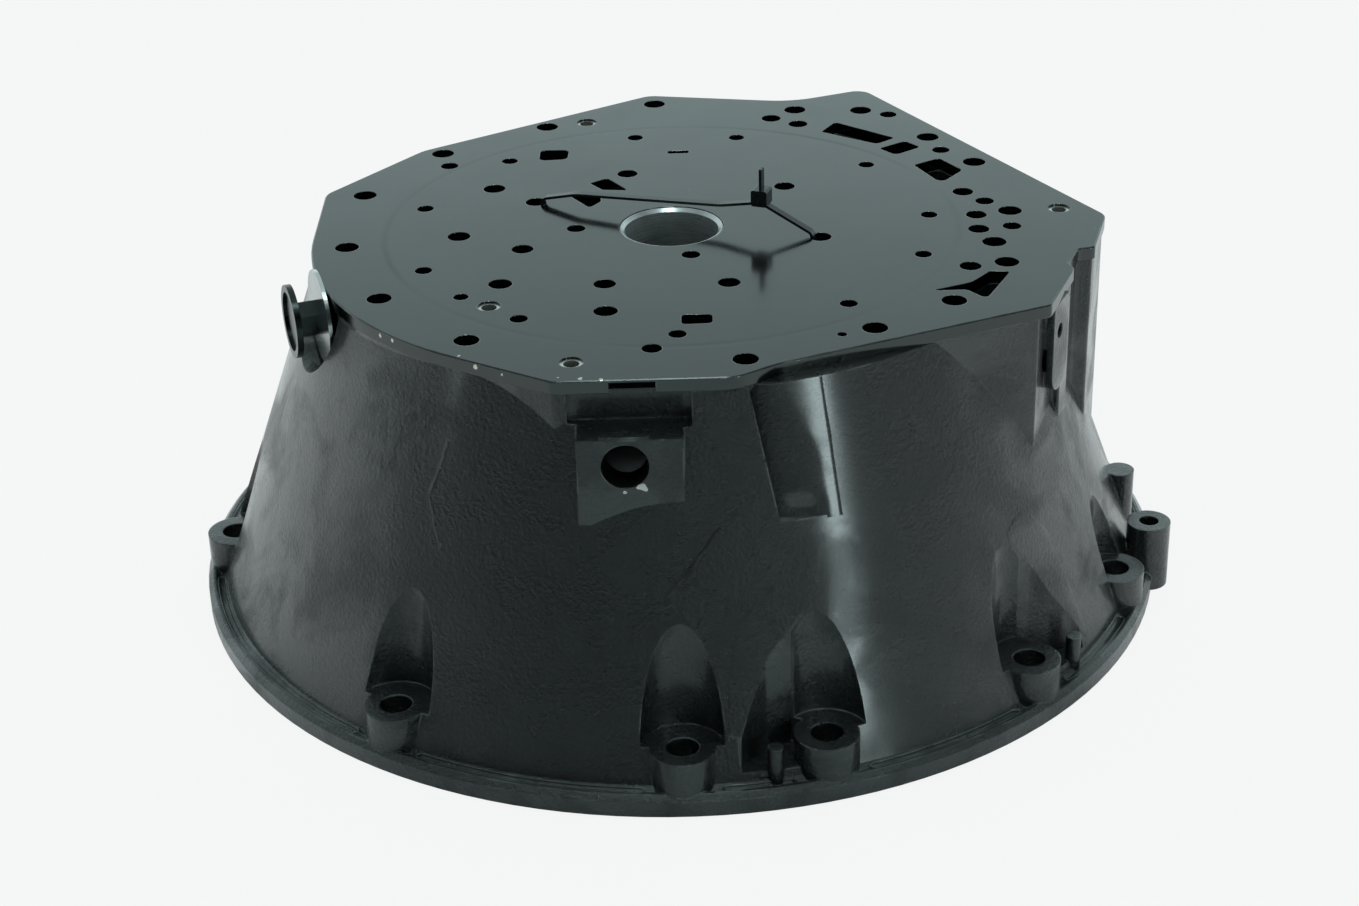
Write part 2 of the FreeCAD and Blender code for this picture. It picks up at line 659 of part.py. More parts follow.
# Hole in the relieved wall at the front right corner.
relief_azimuth = math.degrees(math.atan2(relief_out.y, relief_out.x))
relief_middle = (relief_start + relief_end) * 0.5
relief_plane = relief_middle.dot(relief_out)
relief_shift = relief_middle.dot(side_way)
relief_hole = sketch_facing(
    bell, "relief_hole_circle", relief_azimuth, relief_plane + 1,
    plate_seat - size("relief_hole_drop"))
add_circle(relief_hole, relief_shift, 0.0, size("relief_hole"))
add_pocket(bell, "relief_hole_cut", relief_hole, 12.0)

# ---------------------------------------------------------------------------
# The core that leaves the open bell, cut out of the outside
# ---------------------------------------------------------------------------
core = new_body("bell_core")
cavity = sketch_on(core, "core_section", "XZ_Plane")
slope_foot = bell_foot_radius - size("wall")
slope_top = size("bell_top_radius") - size("wall")
add_profile(cavity, [
    (0.0, -1.0),
    (mouth_radius, -1.0),
    (mouth_radius, size("mouth_depth")),
    (slope_foot, size("mouth_depth") + 4),
    (slope_top + 4, bulkhead_floor - 8),
    (slope_top - 6, bulkhead_floor),
    (size("hub_radius"), bulkhead_floor),
    (size("hub_radius") - 3, hub_floor),
    (0.0, hub_floor),
])
add_revolution(core, "core_form", cavity)
pillars = sketch_on(core, "pillar_circles", "XY_Plane", size("mouth_depth"))
pillar_radius = size("recess_radius") + size("recess_wall")
lone = [angle for angle in WIDE_RECESSES if angle not in (-74.0, -90.3, -45.4)]
for angle in lone + [-90.3]:
    place = along(size("bolt_circle"), angle)
    add_circle(pillars, place[0], place[1], pillar_radius * 2)
tap_pillar = size("tap_recess_radius") + size("recess_wall")
for angle in NARROW_RECESSES:
    place = along(size("bolt_circle"), angle)
    add_circle(pillars, place[0], place[1], tap_pillar * 2)
add_pocket(core, "pillars", pillars, size("pillar_height") - size("mouth_depth"), upward=True)
for name, angles in (("main", (-74.0, -45.4)), ("side", SIDE_RECESSES)):
    more = sketch_on(core, name + "_pillar_circles", "XY_Plane", size("mouth_depth"))
    for angle in angles:
        place = along(size("bolt_circle"), angle)
        add_circle(more, place[0], place[1], pillar_radius * 2)
    depth = size("pillar_height") - size("mouth_depth")
    add_pocket(core, name + "_pillars", more, depth, upward=True)

housing = doc.addObject("Part::Cut", "bell_housing")
housing.Base = bell
housing.Tool = core
housing.Label = "bell_housing"

# ---------------------------------------------------------------------------
# Intermediate plate
# ---------------------------------------------------------------------------
plate = new_body("intermediate_plate")
plate.Label = "intermediate_plate"
outline = sketch_on(plate, "plate_outline", "XY_Plane", plate_seat)
add_outline(outline, PLATE_CORNERS)
sheet_pad = add_pad(plate, "plate_sheet", outline, size("plate_thickness"))
doc.recompute()
rim_edges = []
for number, edge in enumerate(sheet_pad.Shape.Edges, start=1):
    heights = [vertex.Z for vertex in edge.Vertexes]
    if min(heights) > plate_top.value - 0.01:
        rim_edges.append("Edge%d" % number)
eased = plate.newObject("PartDesign::Chamfer", "plate_edge_chamfer")
eased.Base = (sheet_pad, rim_edges)
bind(eased, "Size", size("plate_edge"))
plate.Tip = eased
holes = sketch_on(plate, "plate_hole_circles", "XY_Plane", plate_top)
all_seat_holes(holes, 0.0)
hole_pattern(holes, FEED_HOLES, size("feed_hole"))
hole_pattern(holes, DOWELS, size("dowel") + size("dowel_fit") * 2)
hole_pattern(holes, TIE_HOLES, size("pump_hole"))
add_circle(holes, 0.0, 0.0, size("bore"))
add_pocket(plate, "plate_holes", holes, size("plate_thickness"))
openings = sketch_on(plate, "plate_window_outlines", "XY_Plane", plate_top)
for window in WINDOWS:
    add_outline(openings, window)
add_pocket(plate, "plate_windows", openings, size("plate_thickness"))
notch = sketch_on(plate, "notch_outline", "XY_Plane", plate_seat)
notch_middle = -16.5
add_profile(notch, [
    (size("notch_width") * -0.5 + notch_middle, FRONT_EDGE - 4.0),
    (size("notch_width") * 0.5 + notch_middle, FRONT_EDGE - 4.0),
    (size("notch_width") * 0.5 + notch_middle, size("notch_depth") + FRONT_EDGE),
    (size("notch_width") * -0.5 + notch_middle, size("notch_depth") + FRONT_EDGE),
])
add_pocket(plate, "front_notch", notch, size("plate_thickness") - size("notch_skin"), upward=True)

# ---------------------------------------------------------------------------
# Centre bush, turned
# ---------------------------------------------------------------------------
bush = new_body("centre_bush")
bush.Label = "centre_bush"
ring = sketch_on(bush, "bush_section", "XZ_Plane")
bush_outer = size("bore") * 0.5 - size("bush_fit")
bush_inner = bush_outer - size("bush_wall")
bush_top = plate_top - size("bush_sink")
add_profile(ring, [
    (bush_inner, hub_floor),
    (bush_outer, hub_floor),
    (bush_outer, bush_top - 0.4),
    (bush_outer - 0.4, bush_top),
    (bush_inner + size("bush_lip"), bush_top),
    (bush_inner, bush_top - size("bush_lip")),
])
add_revolution(bush, "bush_form", ring)

# ---------------------------------------------------------------------------
# Dowel sleeves between casting and plate
# ---------------------------------------------------------------------------
sleeves = []
dowel_length = size("plate_thickness") + size("blind_depth") - size("dowel_sink")
for number, (x, y) in enumerate(DOWELS, start=1):
    skin = doc.addObject("Part::Cylinder", "sleeve_skin_%d" % number)
    bind(skin, "Radius", size("dowel") * 0.5)
    bind(skin, "Height", dowel_length)
    skin.Placement = Placement(Vector(x, y, 0), Rotation())
    skin.setExpression("Placement.Base.z", (plate_seat - size("blind_depth")).text)
    hollow = doc.addObject("Part::Cylinder", "sleeve_bore_%d" % number)
    bind(hollow, "Radius", size("dowel_bore") * 0.5)
    bind(hollow, "Height", dowel_length + 2)
    hollow.Placement = Placement(Vector(x, y, 0), Rotation())
    hollow.setExpression("Placement.Base.z", (plate_seat - size("blind_depth") - 1).text)
    sleeve = doc.addObject("Part::Cut", "sleeve_%d" % number)
    sleeve.Base = skin
    sleeve.Tool = hollow
    sleeves.append(sleeve)
dowels = doc.addObject("Part::Compound", "dowel_sleeves")
dowels.Links = sleeves
dowels.Label = "dowel_sleeves"


# ---------------------------------------------------------------------------
# Line fitting on the left: stub, sealing washer and end cap on one axis
# ---------------------------------------------------------------------------
def on_fitting_axis(item, start):
    """Lay a cylinder along the fitting's axis, from a distance outwards."""
    azimuth = size("fitting_azimuth").value
    turn = Rotation(Vector(0, 0, 1), azimuth) * Rotation(Vector(0, 1, 0), 90)
    x, y = along(start, azimuth)
    place = Vector(x.value, y.value, fitting_height.value)
    item.Placement = Placement(place, turn)
    item.setExpression("Placement.Base.x", x.text)
    item.setExpression("Placement.Base.y", y.text)
    item.setExpression("Placement.Base.z", fitting_height.text)


def fitting_cylinder(name, radius, start, length):
    item = doc.addObject("Part::Cylinder", name)
    bind(item, "Radius", radius)
    bind(item, "Height", length)
    on_fitting_axis(item, start)
    return item


washer_start = fitting_seat + size("washer_gap")
cap_start = fitting_seat + size("stub_length")

collar = fitting_cylinder(
    "stub_collar", size("stub_radius") + 1.8, fitting_seat, size("washer_gap"))
nose = fitting_cylinder(
    "stub_nose", size("stub_radius") - 1.5, fitting_seat, size("stub_length"))
hexagon = doc.addObject("Part::Prism", "stub_hexagon")
hexagon.Polygon = 6
bind(hexagon, "Circumradius", size("stub_radius"))
bind(hexagon, "Height", size("stub_length") - size("washer_gap") - size("washer_thickness") - 1)
on_fitting_axis(hexagon, washer_start + size("washer_thickness"))
stub = doc.addObject("Part::MultiFuse", "fitting_stub")
stub.Shapes = [collar, nose, hexagon]
stub.Label = "fitting_stub"

disc = fitting_cylinder(
    "washer_disc", size("washer_radius"), washer_start, size("washer_thickness"))
eye = fitting_cylinder(
    "washer_eye", size("stub_radius") - 1.5, washer_start - 1, size("washer_thickness") + 2)
washer = doc.addObject("Part::Cut", "fitting_washer")
washer.Base = disc
washer.Tool = eye
washer.Label = "fitting_washer"

lid = fitting_cylinder("cap_disc", size("cap_radius"), cap_start, size("cap_thickness"))
dish = fitting_cylinder(
    "cap_dish", size("cap_radius") - 3, cap_start + size("cap_thickness") * 0.5, 5.0)
cap = doc.addObject("Part::Cut", "fitting_cap")
cap.Base = lid
cap.Tool = dish
cap.Label = "fitting_cap"

# ---------------------------------------------------------------------------
# Cable tie through the two pump bolt holes
# ---------------------------------------------------------------------------
tie_span = math.dist(TIE_HOLES[0], TIE_HOLES[1])
tie_azimuth = math.degrees(math.atan2(
    TIE_HOLES[1][1] - TIE_HOLES[0][1], TIE_HOLES[1][0] - TIE_HOLES[0][0]))
top = plate_top.value
under = hub_floor.value - 1.5
# Middle line of the closed strap: (distance from the first hole, height, round).
STRAP = [
    (3.4, under, 4.0),
    (tie_span - 3.3, under, 4.0),
    (tie_span - 3.3, top + 1.3, 3.0),
    (106.5, top + 12.9, 3.0),
    (88.0, top + 9.5, 30.0),
    (20.0, top + 6.3, 25.0),
    (3.4, top + 2.4, 3.5),
]
half_strap = size("strap_thickness").value / 2
tie = new_body("cable_tie")
tie.Label = "cable_tie"
band = sketch_on(tie, "strap_section", "XZ_Plane")
add_outline(band, offset_corners(STRAP, -half_strap))
add_outline(band, offset_corners(STRAP, half_strap))
strap = add_pad(tie, "strap", band, size("strap_width"))
strap.SideType = "Symmetric"
head_block = sketch_on(tie, "head_section", "XZ_Plane")
head_left = 106.5 - size("tie_head").value / 2
head_base = top + 12.9 - 1.2
add_outline(head_block, [
    (head_left, head_base, 1.0),
    (head_left + size("tie_head").value, head_base, 1.0),
    (head_left + size("tie_head").value, head_base + size("tie_head").value, 1.0),
    (head_left, head_base + size("tie_head").value, 1.0),
])
block = add_pad(tie, "head", head_block, size("tie_head"))
block.SideType = "Symmetric"
tail_strip = sketch_on(tie, "tail_section", "XZ_Plane")
add_outline(tail_strip, [
    (106.0, head_base + 2, 0.0),
    (106.0 + 2 * half_strap, head_base + 2, 0.0),
    (106.0 + 2 * half_strap, top + size("tie_tail").value, 0.0),
    (106.0, top + size("tie_tail").value, 0.0),
])
tail = add_pad(tie, "tail", tail_strip, size("strap_width"))
tail.SideType = "Symmetric"
tie.Placement = Placement(
    Vector(TIE_HOLES[0][0], TIE_HOLES[0][1], 0), Rotation(Vector(0, 0, 1), tie_azimuth))

# ---------------------------------------------------------------------------
# Check and write
# ---------------------------------------------------------------------------
doc.recompute()
for item in doc.Objects:
    if "Invalid" in item.State or "Error" in item.State:
        raise RuntimeError("%s failed: %s" % (item.Name, item.State))

NODES = [housing, plate, bush, dowels, stub, washer, cap, tie]
for node in NODES:
    shape = node.Shape
    if shape.isNull() or not shape.isValid():
        raise RuntimeError("%s has no valid shape" % node.Label)
    shape.exportStep("parts/%s.step" % node.Label)
    print(node.Label, len(shape.Solids), "solids", round(shape.Volume / 1000.0, 1), "cm3")
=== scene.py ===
import logging
import math
from dataclasses import dataclass
from enum import Enum
from functools import reduce
from typing import Iterable, Sequence

import bmesh
import bpy
from mathutils import Matrix, Vector


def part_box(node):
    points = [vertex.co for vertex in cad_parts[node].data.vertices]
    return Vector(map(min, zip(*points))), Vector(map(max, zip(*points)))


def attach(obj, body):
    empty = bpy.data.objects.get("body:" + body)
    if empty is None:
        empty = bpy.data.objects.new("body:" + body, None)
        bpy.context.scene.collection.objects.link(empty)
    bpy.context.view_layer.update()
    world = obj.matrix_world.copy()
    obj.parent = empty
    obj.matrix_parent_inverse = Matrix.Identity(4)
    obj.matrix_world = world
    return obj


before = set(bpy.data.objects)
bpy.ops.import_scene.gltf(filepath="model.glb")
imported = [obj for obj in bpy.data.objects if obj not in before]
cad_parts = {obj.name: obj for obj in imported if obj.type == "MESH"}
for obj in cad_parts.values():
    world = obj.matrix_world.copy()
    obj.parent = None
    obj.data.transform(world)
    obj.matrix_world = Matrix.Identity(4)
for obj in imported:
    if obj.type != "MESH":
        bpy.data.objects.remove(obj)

logging.basicConfig(level=logging.INFO, format="%(levelname)s %(message)s")
log = logging.getLogger("gearbox_housing")

Point = tuple[float, float, float]
PlanPoint = tuple[float, float]
Colour = tuple[float, float, float]
Node = bpy.types.Node
Socket = bpy.types.NodeSocket
Material = bpy.types.Material
Value = float | tuple[float, ...] | Socket
Grid = list[list[bmesh.types.BMVert]]

MM = 0.001
COAT_BLACK: Colour = (0.001, 0.001, 0.001)
# Painted shade for the pits of the sand-cast skin.
PIT_PAINTED_SHADE: Colour = (0.002, 0.002, 0.002)
COAT_DUST: Colour = (0.11, 0.12, 0.115)
# Painted highlight: a bright speckle standing in for the sparkle of the wet coat.
SPARKLE_PAINTED_HIGHLIGHT: Colour = (0.018, 0.022, 0.022)
# Edge wear with a painted edge highlight, for the casting's edges.
WORN_COAT_AND_EDGE_HIGHLIGHT: Colour = (0.3, 0.34, 0.33)
BARE_CASTING: Colour = (0.78, 0.76, 0.72)
OIL_FLECK: Colour = (0.3, 0.32, 0.31)
WORN_STEEL: Colour = (0.6, 0.6, 0.55)
BARE_STEEL: Colour = (0.66, 0.62, 0.52)
BRIGHT_STEEL: Colour = (0.62, 0.64, 0.64)
COOL_WHITE: Colour = (0.8, 0.99, 1.0)


class Slot(Enum):
    """Names of the record's material slots."""

    CASTING = "casting"
    FITTING = "fitting"


class Maths(Enum):
    """The operations on numbers."""

    ADD = "ADD"
    SUBTRACT = "SUBTRACT"
    MULTIPLY = "MULTIPLY"
    DIVIDE = "DIVIDE"
    MAXIMUM = "MAXIMUM"
    ABSOLUTE = "ABSOLUTE"


class VectorMaths(Enum):
    """The operations on vectors, each with the output that holds its result."""

    ADD = ("ADD", "Vector")
    SUBTRACT = ("SUBTRACT", "Vector")
    SCALE = ("SCALE", "Vector")
    DISTANCE = ("DISTANCE", "Value")
    DOT = ("DOT_PRODUCT", "Value")
    LENGTH = ("LENGTH", "Value")


# ---------------------------------------------------------------------------
# Node graph helpers
# ---------------------------------------------------------------------------
class Graph:
    """A thin typed wrapper round a node tree, for shaders, groups and geometry."""

    def __init__(self, tree: bpy.types.NodeTree) -> None:
        """Keep the tree that nodes are added to."""
        self.tree = tree

    def add(self, kind: str, values: dict | None = None, **settings: object) -> Node:
        """Add a node, set its properties and fill or link its inputs.

        Args:
            kind: The node's type name.
            values: Input name or index to a constant or to an output socket.
            settings: Properties of the node itself.

        Returns:
            The new node.
        """
        node = self.tree.nodes.new(kind)
        for name, value in settings.items():
            setattr(node, name, value)
        for key, value in (values or {}).items():
            socket = node.inputs[key]
            if isinstance(value, Socket):
                self.link(value, socket)
            else:
                socket.default_value = value
        return node

    def link(self, start: Socket, end: Socket) -> None:
        """Join an output to an input."""
        self.tree.links.new(start, end)

    def group(self, tree: bpy.types.NodeTree, values: dict[str, Value]) -> Node:
        """Add a shared node group."""
        return self.add("ShaderNodeGroup", values, node_tree=tree)

    def maths(self, operation: Maths, first: Value, second: Value = 0.0,
              clamp: bool = False) -> Socket:
        """Add a Math node.

        Args:
            operation: The node's operation.
            first: Constant or socket for the first value.
            second: Constant or socket for the second value.
            clamp: Whether the result is held between 0 and 1.

        Returns:
            The result's socket.
        """
        node = self.add("ShaderNodeMath", {0: first, 1: second}, operation=operation.value,
                        use_clamp=clamp)
        return node.outputs[0]

    def times(self, first: Value, second: Value) -> Socket:
        """Multiply two values."""
        return self.maths(Maths.MULTIPLY, first, second)

    def plus(self, first: Value, second: Value) -> Socket:
        """Add two values."""
        return self.maths(Maths.ADD, first, second)

    def less(self, first: Value, second: Value, clamp: bool = False) -> Socket:
        """Take the second value from the first."""
        return self.maths(Maths.SUBTRACT, first, second, clamp)

    def most(self, *values: Value) -> Socket:
        """Take the largest of some values."""
        return reduce(lambda first, second: self.maths(Maths.MAXIMUM, first, second), values)

    def vector(self, step: VectorMaths, first: Value, second: Value | None = None) -> Socket:
        """Add a Vector Math node.

        Args:
            step: The node's operation.
            first: The first vector.
            second: The second vector, or the factor when the first one is scaled.

        Returns:
            The result's socket.
        """
        operation, result = step.value
        values = {0: first}
        if second is not None:
            values["Scale" if step is VectorMaths.SCALE else 1] = second
        return self.add("ShaderNodeVectorMath", values, operation=operation).outputs[result]

    def ramp(self, source: Value, low: Value, high: Value) -> Socket:
        """Map a value from low..high to 0..1 with clamping."""
        return self.add("ShaderNodeMapRange", {0: source, 1: low, 2: high}).outputs[0]

    def spread(self, source: Value, low: float, high: float) -> Socket:
        """Map a value from 0..1 to low..high with clamping."""
        return self.add("ShaderNodeMapRange", {0: source, 3: low, 4: high}).outputs[0]

    def blend(self, factor: Value, first: Colour | Socket, second: Colour | Socket) -> Socket:
        """Mix two colours.

        Args:
            factor: Constant or socket, 0 for the first colour.
            first: Colour or socket.
            second: Colour or socket.

        Returns:
            The mixed colour's socket.
        """
        one, other = (value if isinstance(value, Socket) else (*value, 1.0)
                      for value in (first, second))
        node = self.add("ShaderNodeMix", {0: factor, 6: one, 7: other}, data_type="RGBA")
        return node.outputs[2]

    def noise(self, place: Socket, scale: Value, detail: float = 2.0, **more: Value) -> Socket:
        """Add a noise texture and give its value."""
        values = {"Vector": place, "Scale": scale, "Detail": detail, **more}
        return self.add("ShaderNodeTexNoise", values).outputs[0]

    def cells(self, place: Socket, scale: Value) -> Socket:
        """Add a cell texture and give the distance to the nearest cell's middle."""
        values = {"Vector": place, "Scale": scale}
        return self.add("ShaderNodeTexVoronoi", values).outputs["Distance"]

    def stretched(self, place: Socket, scale: Point) -> Socket:
        """Scale the coordinates by one factor for each axis."""
        return self.add("ShaderNodeMapping", {"Vector": place, "Scale": scale}).outputs[0]

    def relief(self, shader: Node, height: Socket, strength: float, distance: float,
               normal: Socket | None = None) -> None:
        """Raise and lower a surface with a Bump node.

        Args:
            shader: The shader whose normal is set.
            height: The height's socket.
            strength: Share of the height that is used.
            distance: Height of one unit, in metres.
            normal: The normal to start from, if the surface has its own.
        """
        values = {"Height": height, "Strength": strength, "Distance": distance}
        if normal is not None:
            values["Normal"] = normal
        self.link(self.add("ShaderNodeBump", values).outputs[0], shader.inputs["Normal"])


def new_group(name: str, inputs: dict[str, float | None], outputs: Sequence[str]
              ) -> tuple[Graph, bpy.types.bpy_prop_collection, Node]:
    """Make an empty shader node group with named sockets.

    Args:
        name: The group's name.
        inputs: Each input with its default number, or None for a vector.
        outputs: The names of the outputs, which are all numbers.

    Returns:
        The graph, the sockets of its input node and its output node.
    """
    tree = bpy.data.node_groups.new(name, "ShaderNodeTree")
    for label, default in inputs.items():
        kind = "NodeSocketVector" if default is None else "NodeSocketFloat"
        socket = tree.interface.new_socket(label, in_out="INPUT", socket_type=kind)
        if default is not None:
            socket.default_value = default
    for label in outputs:
        tree.interface.new_socket(label, in_out="OUTPUT", socket_type="NodeSocketFloat")
    graph = Graph(tree)
    inlet, outlet = graph.add("NodeGroupInput"), graph.add("NodeGroupOutput")
    return graph, inlet.outputs, outlet


class SharedEffects:
    """The shader node groups that several finishes share."""

    def __init__(self) -> None:
        """Build every group once."""
        self.grain = self.build_grain()
        self.smudge = self.build_smudge()
        self.chips = self.build_chips()
        self.edges = self.build_edges()
        self.drips = self.build_drips()

    @staticmethod
    def build_grain() -> bpy.types.NodeTree:
        """Build the pitted skin that sand leaves on a casting.

        Returns:
            The group, with a height and a pit mask.
        """
        graph, given, outlet = new_group(
            "cast_grain", {"Vector": None, "Grain Scale": 900.0, "Pit Scale": 330.0, "Wave": 0.7},
            ("Height", "Pits"))
        place = given["Vector"]
        fine = graph.noise(place, given["Grain Scale"], 4.0, Roughness=0.72)
        pits = graph.ramp(graph.cells(place, given["Pit Scale"]), 0.18, 0.02)
        pits = graph.times(pits, graph.ramp(graph.noise(place, 55.0), 0.6, 0.7))
        slow = graph.times(graph.noise(place, 48.0, 3.0), given["Wave"])
        crust = graph.cells(place, graph.times(given["Grain Scale"], 0.85))
        height = graph.plus(graph.plus(fine, graph.times(crust, 0.4)), slow)
        height = graph.less(height, graph.times(pits, 0.35))
        graph.link(height, outlet.inputs["Height"])
        graph.link(pits, outlet.inputs["Pits"])
        return graph.tree

    @staticmethod
    def build_smudge() -> bpy.types.NodeTree:
        """Build the soft patches of oil, dust and handling.

        Returns:
            The group, with a soft mask and a fine fleck mask.
        """
        graph, given, outlet = new_group(
            "smudge", {"Vector": None, "Scale": 14.0, "Low": 0.42, "High": 0.68},
            ("Mask", "Flecks"))
        place = given["Vector"]
        cloud = graph.noise(place, given["Scale"], 6.0, Roughness=0.6, Distortion=0.6)
        flecks = graph.times(graph.ramp(graph.cells(place, 210.0), 0.14, 0.05),
                             graph.ramp(graph.noise(place, 30.0, 3.0), 0.58, 0.66))
        graph.link(graph.ramp(cloud, given["Low"], given["High"]), outlet.inputs["Mask"])
        graph.link(flecks, outlet.inputs["Flecks"])
        return graph.tree

    @staticmethod
    def build_chips() -> bpy.types.NodeTree:
        """Build a ragged patch where the skin is chipped off round a point.

        Returns:
            The group, with the patch's mask.
        """
        graph, given, outlet = new_group(
            "chip_patch", {"Vector": None, "Centre": None, "Radius": 0.006, "Ragged": 0.7},
            ("Mask",))
        place, radius = given["Vector"], given["Radius"]
        away = graph.vector(VectorMaths.DISTANCE, place, given["Centre"])
        lift = graph.times(graph.less(graph.noise(place, 240.0, 4.0), 0.5),
                           graph.times(radius, graph.times(given["Ragged"], 4.0)))
        mask = graph.ramp(graph.plus(away, lift), radius, graph.times(radius, 0.9))
        graph.link(mask, outlet.inputs["Mask"])
        return graph.tree

    @staticmethod
    def build_edges() -> bpy.types.NodeTree:
        """Build the broken bright line along an edge: wear from handling, and on the casting also
        a painted edge highlight.

        Returns:
            The group, with the line's mask.
        """
        graph, given, outlet = new_group(
            "edge_wear_and_highlight", {"Vector": None, "Rounded": None, "Flat": None, "Broken": 0.5},
            ("Mask",))
        turn = graph.vector(VectorMaths.DOT, given["Rounded"], given["Flat"])
        edge = graph.ramp(turn, 0.985, 0.86)
        gate = graph.ramp(graph.noise(given["Vector"], 70.0, 4.0), given["Broken"],
                          graph.plus(given["Broken"], 0.1))
        graph.link(graph.times(edge, gate), outlet.inputs["Mask"])
        return graph.tree

    @staticmethod
    def build_drips() -> bpy.types.NodeTree:
        """Build a thin wandering run of coat between two points.

        Returns:
            The group, with the run's mask.
        """
        graph, given, outlet = new_group(
            "drip_line", {"Vector": None, "Start": None, "End": None, "Width": 0.0005},
            ("Mask",))
        place, start = given["Vector"], given["Start"]
        wander = graph.add("ShaderNodeTexNoise", {"Vector": place, "Scale": 130.0, "Detail": 1.0})
        shift = graph.vector(VectorMaths.SUBTRACT, wander.outputs["Color"], (0.5, 0.5, 0.5))
        shift = graph.vector(VectorMaths.SCALE, shift, 0.0022)
        moved = graph.vector(VectorMaths.ADD, place, shift)
        along = graph.vector(VectorMaths.SUBTRACT, given["End"], start)
        away = graph.vector(VectorMaths.SUBTRACT, moved, start)
        reach = graph.vector(VectorMaths.DOT, away, along)
        span = graph.vector(VectorMaths.DOT, along, along)
        share = graph.maths(Maths.DIVIDE, reach, span, clamp=True)
        foot = graph.vector(VectorMaths.SCALE, along, share)
        gap = graph.vector(VectorMaths.DISTANCE, away, foot)
        graph.link(graph.ramp(gap, given["Width"], 0.0), outlet.inputs["Mask"])
        return graph.tree


# ---------------------------------------------------------------------------
# Finishes
# ---------------------------------------------------------------------------
@dataclass(frozen=True)
class Spot:
    """A round place where a finish is chipped off or rubbed."""

    centre: Point
    radius: float


@dataclass(frozen=True)
class Run:
    """A thin run of coat on the casting, from one point to another."""

    start: Point
    end: Point
    width: float = 0.0012


@dataclass(frozen=True)
class Finish:
    """A surface finish; subclasses add what their metal or plastic shows."""

    name: str
    colour: Colour
    roughness: float
    metallic: float = 0.0
    effects: SharedEffects | None = None

    def shade(self, share: float) -> Colour:
        """The finish's colour, made darker or brighter by a share."""
        return tuple(channel * share for channel in self.colour)

    def start(self) -> tuple[Material, Graph, Node, Socket]:
        """Make the material with its shader.

        Returns:
            The material, its graph, its Principled shader and the object coordinates.
        """
        material = bpy.data.materials.new(self.name)
        material.use_nodes = True
        graph = Graph(material.node_tree)
        shader = material.node_tree.nodes["Principled BSDF"]
        shader.inputs["Base Color"].default_value = (*self.colour, 1.0)
        shader.inputs["Roughness"].default_value = self.roughness
        shader.inputs["Metallic"].default_value = self.metallic
        place = graph.add("ShaderNodeTexCoord").outputs["Object"]
        return material, graph, shader, place

    def chip_mask(self, graph: Graph, place: Socket, chips: Iterable[Spot]) -> Socket | None:
        """Join the masks of several chips.

        Args:
            graph: The material's graph.
            place: Object coordinates.
            chips: The chips to join.

        Returns:
            The joined mask, or None without chips.
        """
        masks = []
        for chip in chips:
            patch = graph.group(self.effects.chips, {"Vector": place, "Centre": chip.centre,
                                                     "Radius": chip.radius})
            masks.append(patch.outputs["Mask"])
        return graph.most(*masks) if masks else None

    def edge_mask(self, graph: Graph, place: Socket, rounded: Socket, broken: float) -> Socket:
        """Find the edges of a piece: wear, and on the casting a painted edge highlight too.

        Args:
            graph: The material's graph.
            place: Object coordinates.
            rounded: The Bevel node's normal.
            broken: Share of the edge that stays dark.

        Returns:
            The mask of the worn line.
        """
        flat = graph.add("ShaderNodeNewGeometry").outputs["True Normal"]
        wear = graph.group(self.effects.edges, {"Vector": place, "Rounded": rounded,
                                                "Flat": flat, "Broken": broken})
        return wear.outputs["Mask"]


